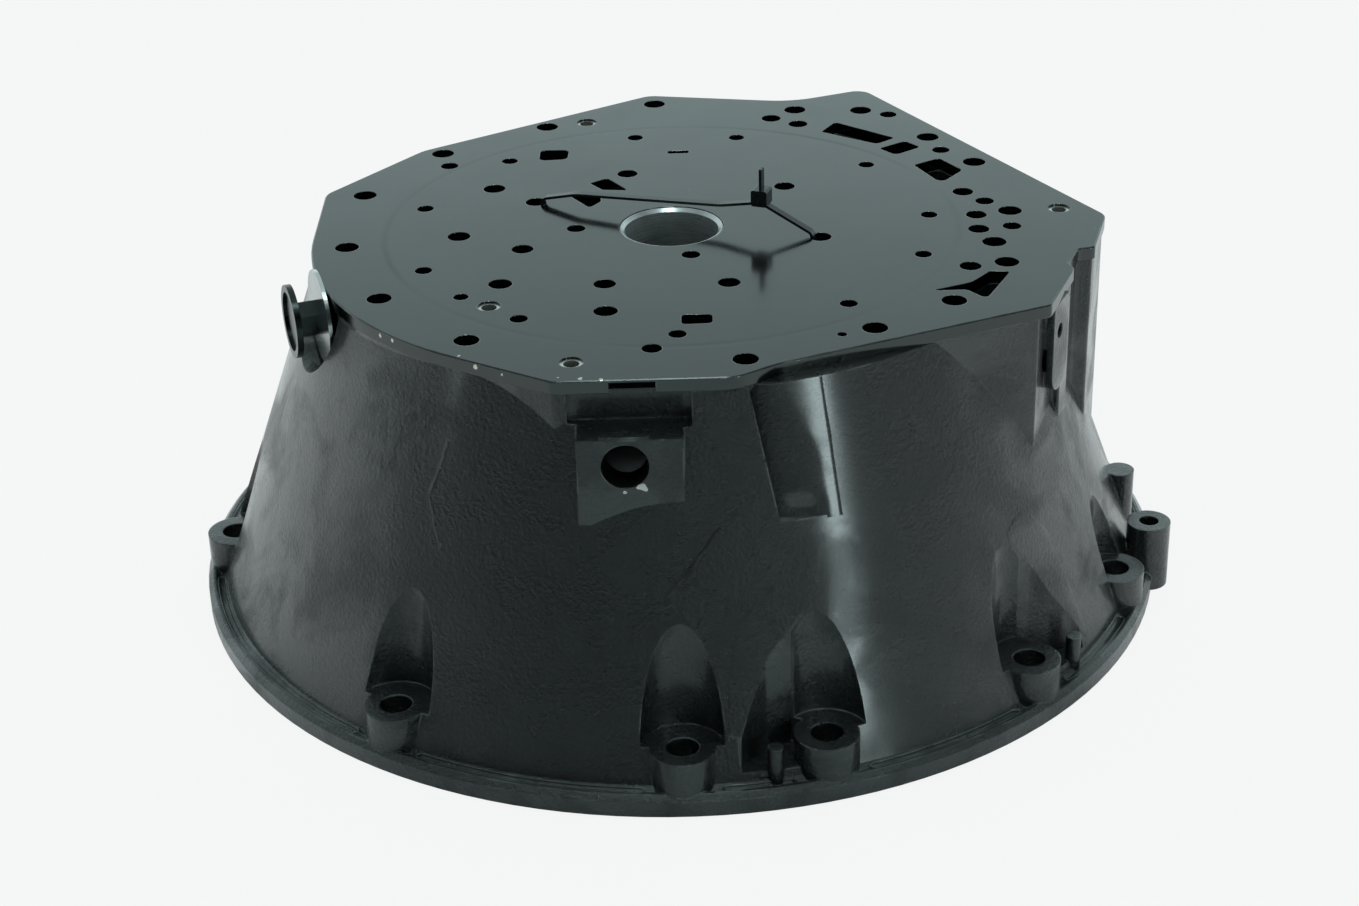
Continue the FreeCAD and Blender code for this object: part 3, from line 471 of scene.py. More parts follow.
@dataclass(frozen=True)
class CastFinish(Finish):
    """Dark glossy coat over a sand-cast skin."""

    grain: float = 640.0
    bump: float = 0.9
    coat: float = 1.0
    chips: tuple[Spot, ...] = ()
    runs: tuple[Run, ...] = ()
    scuffs: tuple[Spot, ...] = ()

    def build(self) -> Material:
        """Build the material.

        Returns:
            The coated casting's material.
        """
        material, graph, shader, place = self.start()
        skin = graph.group(self.effects.grain, {"Vector": place, "Grain Scale": self.grain})
        soft = graph.add("ShaderNodeBevel", {"Radius": 0.0013}, samples=6).outputs[0]
        # The casting's edge line is edge wear and a painted edge highlight.
        worn_and_lit_edges = self.edge_mask(graph, place, soft, 0.5)
        scuffed = self.scuff_mask(graph, place)
        base = self.coat_dirt_and_painted_light(graph, place, skin.outputs["Pits"], worn_and_lit_edges)
        base = graph.blend(scuffed, base, COAT_BLACK)
        height = skin.outputs["Height"]
        for run in self.runs:
            drip = graph.group(self.effects.drips, {"Vector": place, "Start": run.start,
                                                    "End": run.end, "Width": run.width})
            base = graph.blend(graph.times(drip.outputs["Mask"], 0.9), base, COAT_BLACK)
            height = graph.plus(height, graph.times(drip.outputs["Mask"], 2.2))
        bare = self.chip_mask(graph, place, self.chips)
        if bare is not None:
            base = graph.blend(bare, base, BARE_CASTING)
            graph.link(bare, shader.inputs["Metallic"])
        graph.link(base, shader.inputs["Base Color"])
        self.lay_film(graph, shader, place, scuffed)
        graph.relief(shader, height, self.bump, 0.0006, soft)
        return material

    def coat_dirt_and_painted_light(self, graph: Graph, place: Socket, pits: Socket, worn_and_lit_edges: Socket) -> Socket:
        """Colour the coat: dirt, dust, painted pit shade, painted sparkle, edge wear with painted
        highlight.

        Args:
            graph: The material's graph.
            place: Object coordinates.
            pits: The mask of the pits.
            worn_and_lit_edges: The mask of edge wear and painted edge highlight.

        Returns:
            The colour's socket.
        """
        dirt = graph.group(self.effects.smudge, {"Vector": place, "Scale": 16.0})
        base = graph.blend(dirt.outputs["Mask"], self.colour, self.shade(0.4))
        # Painted shade: the pits are coloured darker than the coat.
        base = graph.blend(pits, base, PIT_PAINTED_SHADE)
        base = graph.blend(graph.times(dirt.outputs["Flecks"], 0.3), base, COAT_DUST)
        # Painted highlight: a fine bright speckle for the sparkle of the wet, rough coat.
        painted_sparkle = graph.ramp(graph.noise(place, 900.0, Roughness=0.8), 0.54, 0.68)
        base = graph.blend(graph.times(painted_sparkle, 0.5), base, SPARKLE_PAINTED_HIGHLIGHT)
        # Edge wear and painted edge highlight, in a grey-teal tone.
        return graph.blend(graph.times(worn_and_lit_edges, 0.5), base, WORN_COAT_AND_EDGE_HIGHLIGHT)

    def lay_film(self, graph: Graph, shader: Node, place: Socket, scuffed: Socket) -> None:
        """Set how glossy the coat is and lay its clear film, which rubbing thins.

        Args:
            graph: The material's graph.
            shader: The Principled shader.
            place: Object coordinates.
            scuffed: The mask of the rubbed streaks.
        """
        dull = graph.group(self.effects.smudge, {"Vector": place, "Scale": 34.0, "Low": 0.4})
        rough = graph.spread(dull.outputs["Mask"], self.roughness - 0.04, self.roughness + 0.14)
        rough = graph.plus(rough, graph.times(scuffed, 0.12))
        graph.link(rough, shader.inputs["Roughness"])
        shader.inputs["IOR"].default_value = 1.6
        blotch = graph.group(self.effects.smudge, {"Vector": place, "Scale": 24.0, "Low": 0.46,
                                                   "High": 0.6})
        film = graph.spread(blotch.outputs["Mask"], self.coat, self.coat * 0.3)
        film = graph.less(film, graph.times(scuffed, 0.6), clamp=True)
        graph.link(film, shader.inputs["Coat Weight"])
        shader.inputs["Coat Roughness"].default_value = 0.16

    def scuff_mask(self, graph: Graph, place: Socket) -> Socket:
        """Join the upright rubbed streaks.

        Args:
            graph: The material's graph.
            place: Object coordinates.

        Returns:
            The mask of the rubbed streaks.
        """
        lines = graph.noise(graph.stretched(place, (420.0, 420.0, 28.0)), 1.0, 3.0)
        near = []
        for scuff in self.scuffs:
            away = graph.vector(VectorMaths.DISTANCE, place, scuff.centre)
            near.append(graph.ramp(away, scuff.radius, scuff.radius * 0.3))
        gate = graph.ramp(lines, 0.5, 0.62)
        return graph.times(gate, graph.most(*near) if near else 0.0)


@dataclass(frozen=True)
class PlateFinish(Finish):
    """Ground steel under a thin dark film of oil."""

    chips: tuple[Spot, ...] = ()
    witness_radius: float = 0.124

    def build(self) -> Material:
        """Build the material.

        Returns:
            The ground plate's material.
        """
        material, graph, shader, place = self.start()
        stain = graph.group(self.effects.smudge, {"Vector": place, "Scale": 13.0, "Low": 0.4})
        grind = graph.noise(graph.stretched(place, (60.0, 900.0, 60.0)), 1.0)
        ring = self.witness_ring(graph, place)
        base = graph.blend(graph.times(stain.outputs["Mask"], 0.35), self.colour,
                           self.shade(0.8))
        base = graph.blend(graph.times(ring, 0.35), base, self.shade(0.45))
        base = graph.blend(graph.times(stain.outputs["Flecks"], 0.3), base, OIL_FLECK)
        soft = graph.add("ShaderNodeBevel", {"Radius": 0.00045}, samples=6).outputs[0]
        worn_and_lit_edges = self.edge_mask(graph, place, soft, 0.42)
        base = graph.blend(graph.times(worn_and_lit_edges, 0.55), base, WORN_STEEL)
        bare = self.chip_mask(graph, place, self.chips)
        if bare is not None:
            base = graph.blend(bare, base, BARE_STEEL)
        graph.link(base, shader.inputs["Base Color"])
        rough = graph.spread(stain.outputs["Mask"], self.roughness, self.roughness + 0.06)
        graph.link(graph.plus(rough, graph.times(ring, 0.12)), shader.inputs["Roughness"])
        height = graph.less(graph.times(grind, 0.05), ring)
        graph.relief(shader, height, 0.06, 0.0004, soft)
        return material

    def witness_ring(self, graph: Graph, place: Socket) -> Socket:
        """Mark the broken ring that a cover once pressed into the plate.

        Args:
            graph: The material's graph.
            place: Object coordinates.

        Returns:
            The mask of the ring.
        """
        radius = graph.vector(VectorMaths.LENGTH, graph.stretched(place, (1.0, 1.0, 0.0)))
        off = graph.maths(Maths.ABSOLUTE, graph.less(radius, self.witness_radius))
        broken = graph.ramp(graph.noise(place, 9.0), 0.35, 0.62)
        return graph.times(graph.ramp(off, 0.0022, 0.0004), broken)


@dataclass(frozen=True)
class TurnedFinish(Finish):
    """Bright or blackened metal with fine turning marks round the shaft axis."""

    marks: float = 2400.0
    depth: float = 0.05

    def build(self) -> Material:
        """Build the material.

        Returns:
            The turned metal's material.
        """
        material, graph, shader, place = self.start()
        line = graph.noise(graph.stretched(place, (20.0, 20.0, self.marks)), 1.0)
        film = graph.group(self.effects.smudge, {"Vector": place, "Scale": 60.0})
        base = graph.blend(graph.times(film.outputs["Mask"], 0.4), self.colour,
                           self.shade(0.55))
        graph.link(base, shader.inputs["Base Color"])
        rough = graph.spread(line, self.roughness - 0.04, self.roughness + 0.08)
        graph.link(rough, shader.inputs["Roughness"])
        graph.relief(shader, line, self.depth, 0.0006)
        return material


@dataclass(frozen=True)
class NylonFinish(Finish):
    """Moulded nylon with a faint orange peel."""

    def build(self) -> Material:
        """Build the material.

        Returns:
            The nylon's material.
        """
        material, graph, shader, place = self.start()
        peel = graph.noise(place, 700.0)
        tone = graph.blend(graph.ramp(peel, 0.3, 0.7), self.colour, self.shade(1.6))
        graph.link(tone, shader.inputs["Base Color"])
        graph.relief(shader, peel, 0.15, 0.0002)
        return material


# ---------------------------------------------------------------------------
# Pieces
# ---------------------------------------------------------------------------
def dress(node: str, material: Material) -> None:
    """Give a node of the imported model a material.

    Args:
        node: The node's name.
        material: The material that fills its slots.
    """
    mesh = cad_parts[node].data
    if not mesh.materials:
        mesh.materials.append(material)
    for index in range(len(mesh.materials)):
        mesh.materials[index] = material
    log.info("dressed %s", node)


def smooth_line(points: Sequence[PlanPoint], steps: int) -> list[PlanPoint]:
    """Run a smooth line through plan points.

    Args:
        points: The plan points.
        steps: Divisions between two neighbours.

    Returns:
        The points of the smooth line.
    """
    rounded = [points[0], *points, points[-1]]
    line = []
    for index in range(1, len(rounded) - 2):
        p0, p1, p2, p3 = rounded[index - 1:index + 3]
        for step in range(steps):
            t = step / steps
            line.append(tuple(
                0.5 * (2 * b + (c - a) * t + (2 * a - 5 * b + 4 * c - d) * t * t
                       + (3 * b - a - 3 * c + d) * t * t * t)
                for a, b, c, d in zip(p0, p1, p2, p3)))
    line.append(tuple(points[-1]))
    return line


def finish_mesh(name: str, work: bmesh.types.BMesh, material: Material,
                sharp: float = 35.0) -> bpy.types.Object:
    """Turn worked geometry into a piece that rides on the housing.

    Args:
        name: The piece's name.
        work: The geometry, in metres and in place; it is freed.
        material: The piece's material.
        sharp: Angle in degrees from which an edge stays sharp.

    Returns:
        The new object.
    """
    bmesh.ops.remove_doubles(work, verts=work.verts, dist=1e-6)
    bmesh.ops.recalc_face_normals(work, faces=work.faces)
    for face in work.faces:
        face.smooth = True
    for edge in work.edges:
        edge.smooth = edge.is_manifold and math.degrees(edge.calc_face_angle(0)) < sharp
    mesh = bpy.data.meshes.new(name)
    work.to_mesh(mesh)
    work.free()
    mesh.materials.append(material)
    piece = bpy.data.objects.new(name, mesh)
    bpy.context.scene.collection.objects.link(piece)
    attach(piece, "root")
    log.info("made %s, %d faces", name, len(mesh.polygons))
    return piece


def skin_sheets(work: bmesh.types.BMesh, front: Grid, rear: Grid) -> None:
    """Fill two grids of corners with faces and close the gap round their borders.

    Args:
        work: The geometry that holds the corners.
        front: The rows of the first sheet.
        rear: The rows of the second sheet, as many as in the first.
    """
    rows, columns = len(front) - 1, len(front[0]) - 1
    for row in range(rows):
        for column in range(columns):
            for grid in (front, rear):
                work.faces.new((grid[row][column], grid[row][column + 1],
                                grid[row + 1][column + 1], grid[row + 1][column]))
        for end in (0, columns):
            work.faces.new((front[row][end], front[row + 1][end],
                            rear[row + 1][end], rear[row][end]))
    for column in range(columns):
        for end in (0, rows):
            work.faces.new((front[end][column], front[end][column + 1],
                            rear[end][column + 1], rear[end][column]))


@dataclass(frozen=True)
class BellCone:
    """The sloping outside of the bell, in millimetres."""

    foot_radius: float = 206.5
    foot_height: float = 9.0
    top_radius: float = 153.3
    top_height: float = 152.8

    @property
    def slope(self) -> float:
        """How much the radius shrinks for each unit of height."""
        return (self.foot_radius - self.top_radius) / (self.top_height - self.foot_height)

    def radius(self, height: float) -> float:
        """The outside radius at a height."""
        return self.foot_radius - self.slope * (height - self.foot_height)

    def height(self, x: float, y: float) -> float:
        """The height of the outside above a plan point."""
        return self.foot_height + (self.foot_radius - math.hypot(x, y)) / self.slope


@dataclass(frozen=True)
class WingWall:
    """The slanting side wall of a wrench recess, as plan lines in millimetres."""

    name: str
    lip: tuple[PlanPoint, ...]
    back: tuple[PlanPoint, ...]
    floor: float = 11.0
    least_height: float = 0.5
    proud: float = 0.09
    sunk: float = 0.8
    rows: int = 8
    steps: int = 6

    def build(self, cone: BellCone, material: Material) -> bpy.types.Object:
        """Build the wall between its lip and a line inside the casting.

        Args:
            cone: The bell's outside, which the top follows.
            material: The casting's material.

        Returns:
            The wall.
        """
        lip = smooth_line(self.lip, self.steps)
        back = smooth_line(self.back, self.steps)
        work = bmesh.new()
        tops, floors = [], []
        for row in range(self.rows + 1):
            share = row / self.rows
            lift = self.proud if row < self.rows else -self.sunk
            top_row, floor_row = [], []
            for index, (x0, y0) in enumerate(lip):
                x1, y1 = back[round(index * (len(back) - 1) / (len(lip) - 1))]
                x, y = x0 + (x1 - x0) * share, y0 + (y1 - y0) * share
                top = max(self.floor + self.least_height, cone.height(x, y) + lift)
                top_row.append(work.verts.new((x * MM, y * MM, top * MM)))
                floor_row.append(work.verts.new((x * MM, y * MM, self.floor * MM)))
            tops.append(top_row)
            floors.append(floor_row)
        skin_sheets(work, tops, floors)
        return finish_mesh(self.name, work, material)


@dataclass(frozen=True)
class FluteWall:
    """The scooped back wall of the upright flute beside the port, in mm and degrees."""

    name: str = "flute_wall"
    low: float = 101.4
    high: float = 152.7
    left: float = -82.0
    right: float = -67.5
    depth: float = 4.4
    thickness: float = 2.1
    columns: int = 40
    rows: int = 30
    proud: float = 0.08
    deep_side: float = -76.9
    deep_lean: float = 2.6
    lean_start: float = 102.5
    lean_height: float = 47.0
    flush_side: float = -70.0
    flush_lean: float = 4.4
    bend_height: float = 125.0
    bend_reach: float = 25.0
    fall: float = 1.8
    scoop: float = 1.5
    scoop_height: float = 105.0
    scoop_reach: float = 7.0
    dive_start: float = 1.0
    dive: float = 0.8
    sharp: float = 60.0

    def sink(self, azimuth: float, height: float) -> float:
        """How far the wall lies behind the bell's outside.

        Args:
            azimuth: Direction from the shaft axis, in degrees.
            height: Height above the engine face.

        Returns:
            The distance in millimetres.
        """
        rise = min(1.0, max(0.0, (height - self.lean_start) / self.lean_height))
        bend = max(0.0, height - self.bend_height)
        start = self.deep_side - self.deep_lean * rise
        end = self.flush_side - self.flush_lean * bend / self.bend_reach
        share = min(1.0, max(0.0, (azimuth - start) / (end - start)))
        near = max(0.0, 1 - abs(height - self.scoop_height) / self.scoop_reach)
        scoop = self.scoop * near * math.sin(math.pi * share) ** 2
        dive = max(0.0, azimuth - self.right + self.dive_start) * self.dive
        return self.depth * (1 - share) ** self.fall + scoop + dive - self.proud

    def build(self, cone: BellCone, material: Material) -> bpy.types.Object:
        """Build the scooped wall.

        Args:
            cone: The bell's outside.
            material: The casting's material.

        Returns:
            The wall.
        """
        work = bmesh.new()
        front, rear = [], []
        for sheet in (front, rear):
            for row in range(self.rows + 1):
                height = self.low + (self.high - self.low) * row / self.rows
                line = []
                for column in range(self.columns + 1):
                    azimuth = self.left + (self.right - self.left) * column / self.columns
                    behind = (self.sink(azimuth, height) if sheet is front
                              else self.depth + self.thickness)
                    radius = cone.radius(height) - behind
                    angle = math.radians(azimuth)
                    line.append(work.verts.new((radius * math.cos(angle) * MM,
                                                radius * math.sin(angle) * MM, height * MM)))
                sheet.append(line)
        skin_sheets(work, front, rear)
        return finish_mesh(self.name, work, material, self.sharp)


class NodeTool:
    """A Geometry Nodes tree with named inputs that is evaluated into plain pieces."""

    name = "node_tool"
    inputs: tuple[tuple[str, str], ...] = ()

    def __init__(self) -> None:
        """Build the tree with its sockets."""
        self.tree = bpy.data.node_groups.new(self.name, "GeometryNodeTree")
        face = self.tree.interface
        face.new_socket("Geometry", in_out="INPUT", socket_type="NodeSocketGeometry")
        face.new_socket("Geometry", in_out="OUTPUT", socket_type="NodeSocketGeometry")
        self.keys: dict[str, str] = {}
        for label, kind in (*self.inputs, ("Material", "NodeSocketMaterial")):
            socket = face.new_socket(label, in_out="INPUT", socket_type=kind)
            self.keys[label] = socket.identifier
        graph = Graph(self.tree)
        inlet, outlet = graph.add("NodeGroupInput"), graph.add("NodeGroupOutput")
        shape = self.shape(graph, inlet)
        real = graph.add("GeometryNodeRealizeInstances", {0: shape})
        dressed = graph.add("GeometryNodeSetMaterial", {"Geometry": real.outputs[0],
                                                        "Material": inlet.outputs["Material"]})
        graph.link(dressed.outputs[0], outlet.inputs[0])

    def shape(self, graph: Graph, inlet: Node) -> Socket:
        """Build the tool's own nodes; each tool overrides this."""
        raise NotImplementedError

    def make(self, name: str, slot: str, seed_mesh: bpy.types.Mesh | None = None,
             **values: float | Point | Material) -> bpy.types.Object:
        """Evaluate the tree into a plain piece.

        Args:
            name: The piece's name.
            slot: Not used.
            seed_mesh: Mesh that the tree starts from, if it needs one.
            values: One value for each named input.

        Returns:
            The piece.
        """
        start = seed_mesh or bpy.data.meshes.new(name + "_seed")
        seed = bpy.data.objects.new(name + "_seed", start)
        bpy.context.scene.collection.objects.link(seed)
        modifier = seed.modifiers.new("shape", "NODES")
        modifier.node_group = self.tree
        for label, value in values.items():
            modifier[self.keys[label]] = value
        evaluated = seed.evaluated_get(bpy.context.evaluated_depsgraph_get())
        mesh = bpy.data.meshes.new_from_object(evaluated)
        bpy.data.objects.remove(seed)
        mesh.name = name
        piece = bpy.data.objects.new(name, mesh)
        bpy.context.scene.collection.objects.link(piece)
        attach(piece, "root")
        log.info("made %s, %d faces", name, len(mesh.polygons))
        return piece


class RidgeRing(NodeTool):
    """Small ridges set round an axis."""

    name = "ridge_ring"
    inputs = (("Count", "NodeSocketInt"), ("Radius", "NodeSocketFloat"),
              ("Ridge", "NodeSocketVector"), ("Tilt", "NodeSocketVector"),
              ("Place", "NodeSocketVector"), ("Turn", "NodeSocketVector"))

    def shape(self, graph: Graph, inlet: Node) -> Socket:
        """Build the ring of ridges.

        Args:
            graph: The tree's graph.
            inlet: The tree's input node.

        Returns:
            The geometry's socket.
        """
        ring = graph.add("GeometryNodeMeshCircle", {"Vertices": inlet.outputs["Count"],
                                                    "Radius": inlet.outputs["Radius"]})
        spot = graph.add("GeometryNodeInputPosition")
        facing = graph.add("FunctionNodeAlignRotationToVector", {"Vector": spot.outputs[0]},
                           axis="X")
        ridge = graph.add("GeometryNodeMeshCube", {"Size": inlet.outputs["Ridge"]})
        leaned = graph.add("GeometryNodeTransform", {"Geometry": ridge.outputs[0],
                                                     "Rotation": inlet.outputs["Tilt"]})
        spread = graph.add("GeometryNodeInstanceOnPoints",
                           {"Points": ring.outputs[0], "Instance": leaned.outputs[0],
                            "Rotation": facing.outputs[0]})
        placed = graph.add("GeometryNodeTransform", {"Geometry": spread.outputs[0],
                                                     "Translation": inlet.outputs["Place"],
                                                     "Rotation": inlet.outputs["Turn"]})
        return placed.outputs[0]


class PathBead(NodeTool):
    """A round bead of coat swept along the edges of a seed mesh."""

    name = "path_bead"
    inputs = (("Radius", "NodeSocketFloat"), ("Sides", "NodeSocketInt"))

    def shape(self, graph: Graph, inlet: Node) -> Socket:
        """Build the swept bead.

        Args:
            graph: The tree's graph.
            inlet: The tree's input node.

        Returns:
            The geometry's socket.
        """
        path = graph.add("GeometryNodeMeshToCurve", {0: inlet.outputs["Geometry"]})
        ring = graph.add("GeometryNodeCurvePrimitiveCircle",
                         {"Resolution": inlet.outputs["Sides"],
                          "Radius": inlet.outputs["Radius"]})
        swept = graph.add("GeometryNodeCurveToMesh", {"Curve": path.outputs[0],
                                                      "Profile Curve": ring.outputs[0]})
        smooth = graph.add("GeometryNodeSetShadeSmooth", {0: swept.outputs[0]})
        return smooth.outputs[0]


@dataclass(frozen=True)
class GutterBeads:
    """The coat that gathers along both edges of the gutter, in mm and degrees."""

    bolts: tuple[float, ...] = (-175.0, -125.0, -90.3, -74.0, -45.4, -21.0, 21.0, 45.4, 74.0,
                                125.0, 150.0)
    gap: float = 4.6
    inner: float = 207.3
    outer: float = 210.7
    height: float = 8.2
    bead: float = 0.42
    step: float = 1.0
    round_end: float = 0.45
    sides: int = 8

    def paths(self) -> bpy.types.Mesh:
        """Lay the closed slots between neighbouring bosses.

        Returns:
            A mesh of edges, one loop for each slot.
        """
        work = bmesh.new()
        turns = list(self.bolts) + [self.bolts[0] + 360]
        for first, last in zip(turns, turns[1:]):
            low, high = first + self.gap, last - self.gap
            count = max(2, round((high - low) / self.step))
            inward = [(self.inner, low + (high - low) * i / count) for i in range(count + 1)]
            outward = [(self.outer, azimuth) for _, azimuth in reversed(inward)]
            middle = (self.inner + self.outer) / 2
            loop = [*inward, (middle, high + self.round_end), *outward,
                    (middle, low - self.round_end)]
            verts = [work.verts.new((radius * math.cos(math.radians(azimuth)) * MM,
                                     radius * math.sin(math.radians(azimuth)) * MM,
                                     self.height * MM)) for radius, azimuth in loop]
            for start, end in zip(verts, [*verts[1:], verts[0]]):
                work.edges.new((start, end))
        mesh = bpy.data.meshes.new("gutter_paths")
        work.to_mesh(mesh)
        work.free()
        return mesh

    def build(self, tool: PathBead, material: Material) -> bpy.types.Object:
        """Sweep the beads along their paths."""
        return tool.make("gutter_beads", Slot.CASTING.value, self.paths(),
                         Radius=self.bead * MM, Sides=self.sides, Material=material)


@dataclass
class Casting:
    """The bell-shaped casting; the finish's places are in metres."""

    effects: SharedEffects
    node: str = "bell_housing"
    cone: BellCone = BellCone()
    flute: FluteWall = FluteWall()
    beads: GutterBeads = GutterBeads()
    chips: tuple[Spot, ...] = (
        Spot((-0.0138, -0.1680, 0.1201), 0.0018),
        Spot((-0.0204, -0.1680, 0.1178), 0.0013),
    )
    runs: tuple[Run, ...] = (
        Run((-0.0896, -0.1363, 0.1263), (-0.0934, -0.1390, 0.1146)),
        Run((-0.0934, -0.1390, 0.1146), (-0.0983, -0.1401, 0.1046)),
        Run((-0.0983, -0.1401, 0.1046), (-0.0945, -0.1510, 0.0858), 0.0010),
        Run((0.0155, -0.1713, 0.1022), (0.0036, -0.1771, 0.0882), 0.0010),
        Run((0.0036, -0.1771, 0.0882), (-0.0063, -0.1810, 0.0775), 0.0010),
    )
    scuffs: tuple[Spot, ...] = (
        Spot((-0.114, -0.118, 0.118), 0.022),
        Spot((-0.104, -0.128, 0.128), 0.016),
    )
    wings: tuple[WingWall, ...] = (
        WingWall(
            "recess_wing_front",
            ((50.5, -176.8), (44.5, -180.2), (39.7, -183.6), (33.6, -187.5), (28.3, -192.0),
             (24.6, -195.9), (21.6, -199.6)),
            ((49.6, -174.6), (43.4, -175.5), (35.2, -176.6), (26.4, -179.2), (19.5, -184.8),
             (16.4, -192.6), (16.2, -199.6))),
        WingWall(
            "recess_wing_right",
            ((133.7, -128.2), (136.9, -126.6), (144.6, -123.7), (151.0, -122.1),
             (157.6, -119.6), (163.4, -117.0), (168.2, -115.6)),
            ((132.2, -126.4), (136.2, -119.6), (140.8, -113.6), (149.6, -108.6),
             (158.6, -108.4), (165.4, -111.2), (170.4, -113.6))),
    )

    def build(self) -> None:
        """Dress the casting and add its gathered coat and its scooped and slanting walls."""
        material = CastFinish("cast_skin", (0.0062, 0.0074, 0.0074), 0.26, effects=self.effects,
                              chips=self.chips, runs=self.runs, scuffs=self.scuffs).build()
        dress(self.node, material)
        # The gathered coat is coloured brighter than the casting's coat: a painted highlight on
        # the gutter beads.
        painted_highlight_bead_coat = CastFinish("gathered_coat_painted_highlight", (0.05, 0.06, 0.06), 0.12, effects=self.effects,
                         bump=0.12).build()
        self.beads.build(PathBead(), painted_highlight_bead_coat)
        self.flute.build(self.cone, material)
        for wing in self.wings:
            wing.build(self.cone, material)


@dataclass
class IntermediatePlate:
    """The flat plate with its bolt and oil holes; its chips are in metres."""

    effects: SharedEffects
    node: str = "intermediate_plate"
    chips: tuple[Spot, ...] = (
        Spot((-0.1157, -0.1010, 0.1560), 0.0016), Spot((-0.1110, -0.1065, 0.1565), 0.0010),
        Spot((-0.0890, -0.1228, 0.1565), 0.0017), Spot((-0.0835, -0.1274, 0.1565), 0.0019),
        Spot((-0.0765, -0.1330, 0.1560), 0.0016), Spot((-0.0660, -0.1402, 0.1560), 0.0012),
        Spot((-0.0450, -0.1490, 0.1575), 0.0011), Spot((-0.0360, -0.1505, 0.1575), 0.0012),
        Spot((-0.0280, -0.1515, 0.1575), 0.0011), Spot((0.1478, -0.0920, 0.1560), 0.0015),
        Spot((0.1520, -0.0872, 0.1560), 0.0015), Spot((0.1230, -0.1092, 0.1550), 0.0007),
    )

    def build(self) -> None:
        """Dress the plate."""
        finish = PlateFinish("ground_plate", (0.092, 0.097, 0.096), 0.12, 1.0, self.effects,
                             self.chips)
        dress(self.node, finish.build())


@dataclass
class SmallMetal:
    """Bush, sleeves and the line fitting, in millimetres, degrees and radians of lean."""

    effects: SharedEffects
    ridges: RidgeRing
    azimuth: float = 199.0
    cap_radius: float = 15.5
    cap_thickness: float = 2.6
    ridge_count: int = 72
    ridge_rise: float = 0.5
    ridge_width: float = 0.42
    ridge_lean: float = 0.5
    inset: float = 0.28
    end_margin: float = 0.3

    def build(self) -> None:
        """Dress the small metal pieces and knurl the end cap."""
        bush = TurnedFinish("turned_bush", BRIGHT_STEEL, 0.26, 0.7, self.effects).build()
        sleeve = TurnedFinish("rolled_sleeve", (0.7, 0.7, 0.66), 0.25, 0.9,
                              self.effects).build()
        black = TurnedFinish("black_fitting", (0.04, 0.046, 0.046), 0.2, 1.0,
                             self.effects).build()
        washer = TurnedFinish("plated_washer", BRIGHT_STEEL, 0.2, 1.0, self.effects).build()
        for node, material in (("centre_bush", bush), ("dowel_sleeves", sleeve),
                               ("fitting_stub", black), ("fitting_cap", black),
                               ("fitting_washer", washer)):
            dress(node, material)
        self.knurl(black)

    def knurl(self, material: Material) -> None:
        """Set the fine ridges round the rim of the end cap.

        Args:
            material: The cap's material.
        """
        low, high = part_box("fitting_cap")
        middle = (Vector(low) + Vector(high)) / 2
        size = (self.ridge_rise, self.ridge_width, self.cap_thickness - self.end_margin)
        for number, lean in enumerate((self.ridge_lean, -self.ridge_lean), 1):
            self.ridges.make(
                "cap_knurl_%d" % number, Slot.FITTING.value, Count=self.ridge_count,
                Radius=(self.cap_radius - self.inset) * MM,
                Ridge=tuple(side * MM for side in size), Tilt=(lean, 0.0, 0.0),
                Place=tuple(middle), Turn=(0.0, math.pi / 2, math.radians(self.azimuth)),
                Material=material)


@dataclass
class CableTie:
    """The nylon tie through the plate."""

    effects: SharedEffects
    node: str = "cable_tie"

    def build(self) -> None:
        """Dress the tie."""
        nylon = NylonFinish("black_nylon", (0.01, 0.0115, 0.0115), 0.26, effects=self.effects)
        dress(self.node, nylon.build())


# ---------------------------------------------------------------------------
# Studio
# ---------------------------------------------------------------------------
@dataclass
class Panel:
    """A soft light: its direction in degrees, and its distance, size and power."""

    name: str
    azimuth: float
    elevation: float
    distance: float
    width: float
    height: float
    power: float


